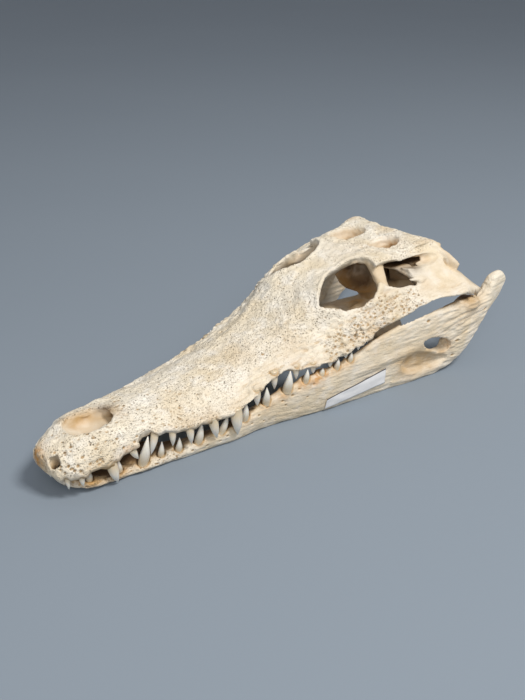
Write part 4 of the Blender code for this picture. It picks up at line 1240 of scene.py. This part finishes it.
def sky_share(obj, around):
    """How enclosed each point of obj is by the bones around it, near and far."""
    p, n = read_skin(obj)
    rays = []
    for k in range(SKY_RAYS):
        rise = (k + 0.7) / SKY_RAYS
        turn = GOLDEN_TURN * k
        flat = math.sqrt(1 - rise * rise)
        rays.append((flat * math.cos(turn), flat * math.sin(turn), rise))
    rays = np.array(rays)
    weight = rays[:, 2] / rays[:, 2].sum()
    helper = np.where(np.abs(n[:, 2:3]) < 0.9, [[0.0, 0.0, 1.0]], [[1.0, 0.0, 0.0]])
    across = np.cross(n, helper)
    across /= np.linalg.norm(across, axis=1)[:, None] + 1e-12
    ahead = np.cross(n, across)
    closed = np.zeros(len(p))
    close_by = np.zeros(len(p))
    for (a, b, c), share in zip(rays, weight):
        direction = across * a + ahead * b + n * c
        for i in range(len(p)):
            start = place(p[i] + n[i] * RAY_START)
            hit = around.ray_cast(start, Vector(direction[i]), FAR)[3]
            if hit is not None:
                closed[i] += share * (1 - 0.5 * hit / FAR)
                if hit < NEARBY:
                    close_by[i] += share * (1 - hit / NEARBY)
    return closed, close_by


def spotted(p, spots):
    return sum(share * blob(p, centre, radius) for centre, radius, share in spots)


def stain_and_shade(obj, around):
    """Mark where the bone is enclosed and creviced, for dirt and painted shade, where it is tan and rusty,
    and the spots of painted shade.
    """
    p, _ = read_skin(obj)
    closed, close_by = sky_share(obj, around)
    # How enclosed and creviced each point is, which the material turns into dirt and painted shade.
    mark(obj, "enclosed", even_out(obj, closed, 3))
    mark(obj, "crevice_dirt_and_shade", even_out(obj, close_by, 1))
    gums = [(base, radius + 1.6, 0.4) for base, _, radius in list(upper_places()) + list(lower_places())]
    mark(obj, "tan", spotted(p, TAN_SPOTS + gums))
    mark(obj, "rust", spotted(p, RUST_SPOTS))
    # Painted shade in the deepest openings, from the shade spots.
    mark(obj, "painted_shade", spotted(p, SHADE_SPOTS))


# ---------------------------------------------------------------- materials

class Finish:
    """A procedural material under construction."""

    def __init__(self, name):
        self.material = bpy.data.materials.new(name)
        self.material.use_nodes = True
        self.tree = self.material.node_tree
        self.shader = self.tree.nodes["Principled BSDF"]
        self.coordinates = self.node("ShaderNodeTexCoord").outputs["Object"]

    def node(self, kind, **values):
        made = self.tree.nodes.new(kind)
        for key, value in values.items():
            setattr(made, key, value)
        return made

    def feed(self, socket, value):
        if isinstance(value, bpy.types.NodeSocket):
            self.tree.links.new(value, socket)
        else:
            socket.default_value = value

    def attribute(self, name):
        return self.node("ShaderNodeAttribute", attribute_name=name).outputs["Fac"]

    def stretched(self, scale):
        mapping = self.node("ShaderNodeMapping")
        self.feed(mapping.inputs["Vector"], self.coordinates)
        mapping.inputs["Scale"].default_value = scale
        return mapping.outputs["Vector"]

    def noise(self, size, detail=2.0, stretch=(1, 1, 1), roughness=0.5):
        """Noise whose lumps are about size mm across."""
        noise = self.node("ShaderNodeTexNoise")
        self.feed(noise.inputs["Vector"], self.stretched(stretch))
        noise.inputs["Scale"].default_value = 1 / (size * MM)
        noise.inputs["Detail"].default_value = detail
        noise.inputs["Roughness"].default_value = roughness
        return noise.outputs["Fac"]

    def cells(self, size, stretch=(1, 1, 1), feature="F1"):
        """Distance from scattered points about size mm apart."""
        voronoi = self.node("ShaderNodeTexVoronoi", feature=feature)
        self.feed(voronoi.inputs["Vector"], self.stretched(stretch))
        voronoi.inputs["Scale"].default_value = 1 / (size * MM)
        return voronoi.outputs["Distance"]

    def ramp(self, value, low, high, out_low=0.0, out_high=1.0):
        """value from low to high as a number from out_low to out_high."""
        limits = self.node("ShaderNodeMapRange", interpolation_type="SMOOTHSTEP")
        self.feed(limits.inputs["Value"], value)
        for key, number in (("From Min", low), ("From Max", high), ("To Min", out_low),
                            ("To Max", out_high)):
            limits.inputs[key].default_value = number
        return limits.outputs["Result"]

    def math(self, operation, a, b):
        made = self.node("ShaderNodeMath", operation=operation)
        self.feed(made.inputs[0], a)
        self.feed(made.inputs[1], b)
        return made.outputs[0]

    def mix(self, share, first, second, blend="MIX"):
        made = self.node("ShaderNodeMix", data_type="RGBA", blend_type=blend)
        self.feed(made.inputs["Factor"], share)
        for name, value in (("A", first), ("B", second)):
            socket = next(s for s in made.inputs if s.name == name and s.type == "RGBA")
            self.feed(socket, value if isinstance(value, bpy.types.NodeSocket) else (*value, 1))
        return next(s for s in made.outputs if s.type == "RGBA")

    def bump(self, height, distance, strength=1.0, over=None):
        made = self.node("ShaderNodeBump")
        self.feed(made.inputs["Height"], height)
        self.feed(made.inputs["Strength"], strength)
        made.inputs["Distance"].default_value = distance * MM
        if over is not None:
            self.tree.links.new(over, made.inputs["Normal"])
        return made.outputs["Normal"]


IVORY = (0.87, 0.81, 0.69)
CREAM = (0.80, 0.70, 0.53)
CHALK = (0.92, 0.885, 0.81)
STREAK = (0.62, 0.50, 0.34)
PIT = (0.43, 0.30, 0.16)
HOLE = (0.37, 0.235, 0.11)
# Brown of dirt and painted shade in creases.
CREVICE_DIRT_AND_SHADE = (0.55, 0.40, 0.21)
# Tan of the stains, also used for painted shade on inner walls and enclosed places.
TAN_STAIN_AND_SHADE = (0.52, 0.34, 0.155)
RUST = (0.62, 0.29, 0.06)
# Nearly black brown, used only for painted shade.
SHADE_UMBER = (0.085, 0.043, 0.018)


def stained_and_shaded(made, colour):
    """The colour with the tan and rust stains over it, tan that is partly dirt and partly painted shade in
    the inner and enclosed places, and near-black painted shade in the most enclosed places and at the
    shade spots.
    """
    enclosed, patchy = made.attribute("enclosed"), made.noise(7, 4)
    # Painted shade on the inner walls and in enclosed places, partly meant as dirt there, joined with the
    # real tan stains.
    inside = made.math("MAXIMUM", made.math("MULTIPLY", made.attribute("inner"), 0.5),
                       made.ramp(enclosed, 0.35, 0.75, 0, 0.85))
    tan_stain_and_shade_share = made.math("MULTIPLY", made.math("MAXIMUM", inside, made.attribute("tan")),
                          made.ramp(patchy, 0.25, 0.6, 0.6, 1))
    colour = made.mix(tan_stain_and_shade_share, colour, TAN_STAIN_AND_SHADE)
    rust_share = made.math("MULTIPLY", made.attribute("rust"),
                           made.ramp(made.noise(2.6, 3), 0.36, 0.6, 0.25, 1))
    colour = made.mix(rust_share, colour, RUST)
    # Painted shade: the places most shut in by other bones go nearly black.
    colour = made.mix(made.ramp(enclosed, 0.6, 0.82, 0, 0.96), colour, SHADE_UMBER)
    # Painted shade: nearly black at the shade spots, a little patchy.
    shade_share = made.math("MULTIPLY", made.attribute("painted_shade"), made.ramp(patchy, 0.3, 0.55, 0.75, 1))
    return made.mix(shade_share, colour, SHADE_UMBER)


def bone_finish():
    made = Finish("old_ivory_bone")
    pitting = made.attribute("pitting")
    streaks = made.attribute("streaks")
    fibre = made.noise(1.3, 3, (1, 0.09, 1))
    pits = made.cells(1.2, (1, 0.75, 1))
    colour = made.mix(made.ramp(made.noise(22, 3), 0.35, 0.7), IVORY, CREAM)
    colour = made.mix(made.ramp(made.noise(9, 4), 0.45, 0.72, 0, 0.75), colour, CHALK)
    fibre_share = made.math("MULTIPLY", made.ramp(fibre, 0.5, 0.72, 0, 0.4),
                            made.ramp(streaks, 0, 1, 0.25, 1))
    colour = made.mix(fibre_share, colour, STREAK)
    pit_share = made.math("MULTIPLY", made.ramp(pits, 0.36, 0.14, 0, 0.4), pitting)
    pit_share = made.math("MULTIPLY", pit_share, made.ramp(made.noise(4, 2), 0.38, 0.56))
    colour = made.mix(pit_share, colour, PIT)
    colour = made.mix(made.ramp(made.attribute("holes"), 0.15, 0.85, 0, 0.8), colour, HOLE)
    # Dirt and painted shade in creases, where other bone lies within a few mm.
    colour = made.mix(made.ramp(made.attribute("crevice_dirt_and_shade"), 0.04, 0.5, 0, 0.6), colour, CREVICE_DIRT_AND_SHADE)
    made.feed(made.shader.inputs["Base Color"], stained_and_shaded(made, colour))
    normal = made.bump(made.ramp(pits, 0.05, 0.42), 0.42, pitting)
    normal = made.bump(made.ramp(made.cells(0.8), 0.1, 0.5), 0.27, pitting, normal)
    normal = made.bump(fibre, 0.4, made.ramp(streaks, 0, 1, 0.2, 1), normal)
    normal = made.bump(made.noise(0.5, 3), 0.08, 0.8, normal)
    made.feed(made.shader.inputs["Normal"], normal)
    made.feed(made.shader.inputs["Roughness"], made.ramp(made.noise(3, 3), 0.3, 0.7, 0.5, 0.68))
    made.shader.inputs["Specular IOR Level"].default_value = 0.4
    return made.material


def tooth_finish():
    made = Finish("tooth_enamel")
    crown = made.attribute("crown")
    colour = made.mix(made.ramp(crown, 0.0, 0.6), (0.70, 0.585, 0.41), (0.80, 0.775, 0.71))
    lines = made.noise(0.7, 2, (1, 1, 0.1))
    colour = made.mix(made.ramp(lines, 0.45, 0.75, 0, 0.3), colour, (0.55, 0.49, 0.40))
    colour = made.mix(made.ramp(made.noise(4, 3), 0.5, 0.75, 0, 0.35), colour, (0.66, 0.56, 0.42))
    made.feed(made.shader.inputs["Base Color"], colour)
    normal = made.bump(lines, 0.08, 0.7)
    made.feed(made.shader.inputs["Normal"], normal)
    made.feed(made.shader.inputs["Roughness"], made.ramp(made.noise(2, 2), 0.3, 0.7, 0.26, 0.42))
    made.shader.inputs["Specular IOR Level"].default_value = 0.5
    made.shader.inputs["Subsurface Weight"].default_value = 0.12
    made.shader.inputs["Subsurface Radius"].default_value = (0.0014, 0.001, 0.0006)
    made.shader.inputs["Subsurface Scale"].default_value = 1.0
    return made.material


def paper_finish():
    made = Finish("blank_paper")
    colour = made.mix(made.noise(3, 3), (0.80, 0.80, 0.815), (0.86, 0.86, 0.87))
    uv = made.node("ShaderNodeTexCoord").outputs["UV"]
    parts = made.node("ShaderNodeSeparateXYZ")
    made.feed(parts.inputs[0], uv)
    line = made.ramp(parts.outputs["Y"], 0.93, 0.95)
    colour = made.mix(line, colour, (0.045, 0.045, 0.055))
    made.feed(made.shader.inputs["Base Color"], colour)
    made.feed(made.shader.inputs["Normal"], made.bump(made.noise(0.4, 3), 0.03, 0.6))
    made.feed(made.shader.inputs["Roughness"], made.ramp(made.noise(1.5, 2), 0.3, 0.7, 0.5, 0.62))
    return made.material


# ---------------------------------------------------------------- put together

def settle(obj, finish, slot, *nodes):
    obj.data.materials.clear()
    obj.data.materials.append(finish)
    obj.data.shade_smooth()
    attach(obj, "root")
    if nodes:
        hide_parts(*nodes)


cranium = finish_cranium()
jaw_left = finish_jaw()
upper = teeth("upper_teeth", upper_places())
lower_left = teeth("lower_teeth_left", lower_places())
whole = bmesh.new()
for each in (cranium, jaw_left, upper, lower_left):
    whole.from_mesh(each.data)
for each in (jaw_left, lower_left):
    copy = bmesh.new()
    copy.from_mesh(each.data)
    bmesh.ops.scale(copy, vec=(-1, 1, 1), verts=copy.verts)
    mirror_mesh = bpy.data.meshes.new("mirror")
    copy.to_mesh(mirror_mesh)
    copy.free()
    whole.from_mesh(mirror_mesh)
    bpy.data.meshes.remove(mirror_mesh)
around = BVHTree.FromBMesh(whole)
whole.free()
stain_and_shade(cranium, around)
stain_and_shade(jaw_left, around)
jaw_right = other_side(jaw_left, "jaw_bone_right")
lower_right = other_side(lower_left, "lower_teeth_right")
tag = paper_tag(jaw_left)

bone = bone_finish()
enamel = tooth_finish()
settle(cranium, bone, "bone", "cranium")
settle(jaw_left, bone, "bone", "mandible_left")
settle(jaw_right, bone, "bone", "mandible_right")
settle(upper, enamel, "bone")
settle(lower_left, enamel, "bone")
settle(lower_right, enamel, "bone")
settle(tag, paper_finish(), "paper", "tag")


# ---------------------------------------------------------------- floor, light and camera

FLOOR_HALF = 6.0
FLOOR_GAP = 0.0001          # the floor lies just below the jaws that rest on it


def floor():
    bm = bmesh.new()
    bmesh.ops.create_grid(bm, x_segments=1, y_segments=1, size=FLOOR_HALF)
    bmesh.ops.translate(bm, verts=bm.verts, vec=(0, 0, -FLOOR_GAP))
    obj = make_object("floor", bm)
    made = Finish("pale_grey_floor")
    colour = made.mix(made.noise(300, 2), (0.24, 0.287, 0.345), (0.255, 0.302, 0.36))
    made.feed(made.shader.inputs["Base Color"], colour)
    made.shader.inputs["Roughness"].default_value = 0.8
    made.shader.inputs["Specular IOR Level"].default_value = 0.2
    obj.data.materials.append(made.material)


LIT_POINT = (0, 0, 0.03)    # the middle of the skull, where every light points


def softbox(name, location, size, power, colour):
    light = bpy.data.lights.new(name, "AREA")
    light.shape = "DISK"
    light.size = size
    light.energy = power
    light.color = colour
    obj = bpy.data.objects.new(name, light)
    bpy.context.scene.collection.objects.link(obj)
    obj.location = location
    obj.rotation_euler = (Vector(LIT_POINT) - Vector(location)).to_track_quat("-Z", "Y").to_euler()


def world():
    made = bpy.data.worlds.new("studio")
    made.use_nodes = True
    background = made.node_tree.nodes["Background"]
    background.inputs["Color"].default_value = (0.68, 0.68, 0.69, 1)
    background.inputs["Strength"].default_value = 0.5
    bpy.context.scene.world = made


AZIMUTH = 48.0613
ELEVATION = 27.2795
DISTANCE = 474.318
ROLL = -0.089
LOOK_AT = (0.455, 140.589, 28.134)
FOCAL_PIXELS = 850.0
SENSOR = 36.0
FRAME_HEIGHT = 700.0


def camera():
    a, e, roll = (math.radians(angle) for angle in (AZIMUTH, ELEVATION, ROLL))
    back = Vector((math.sin(a) * math.cos(e), -math.cos(a) * math.cos(e), math.sin(e)))
    right = Vector((math.cos(a), math.sin(a), 0))
    up = back.cross(right)
    right, up = math.cos(roll) * right + math.sin(roll) * up, math.cos(roll) * up - math.sin(roll) * right
    data = bpy.data.cameras.new("camera")
    data.sensor_fit = "AUTO"
    data.sensor_width = SENSOR
    data.lens = FOCAL_PIXELS * SENSOR / FRAME_HEIGHT
    data.clip_start = 0.01
    obj = bpy.data.objects.new("camera", data)
    bpy.context.scene.collection.objects.link(obj)
    turn = Matrix((right, up, back)).transposed().to_4x4()
    turn.translation = place(LOOK_AT) + back * DISTANCE * MM
    obj.matrix_world = turn
    bpy.context.scene.camera = obj


floor()
softbox("key", (0.72, 0.16, 1.2), 0.42, 13.8, (1.0, 0.965, 0.91))
softbox("fill", (0.75, -0.62, 0.7), 0.7, 3.7, (1.0, 0.975, 0.94))
world()
camera()
bpy.context.scene.view_settings.view_transform = "Standard"
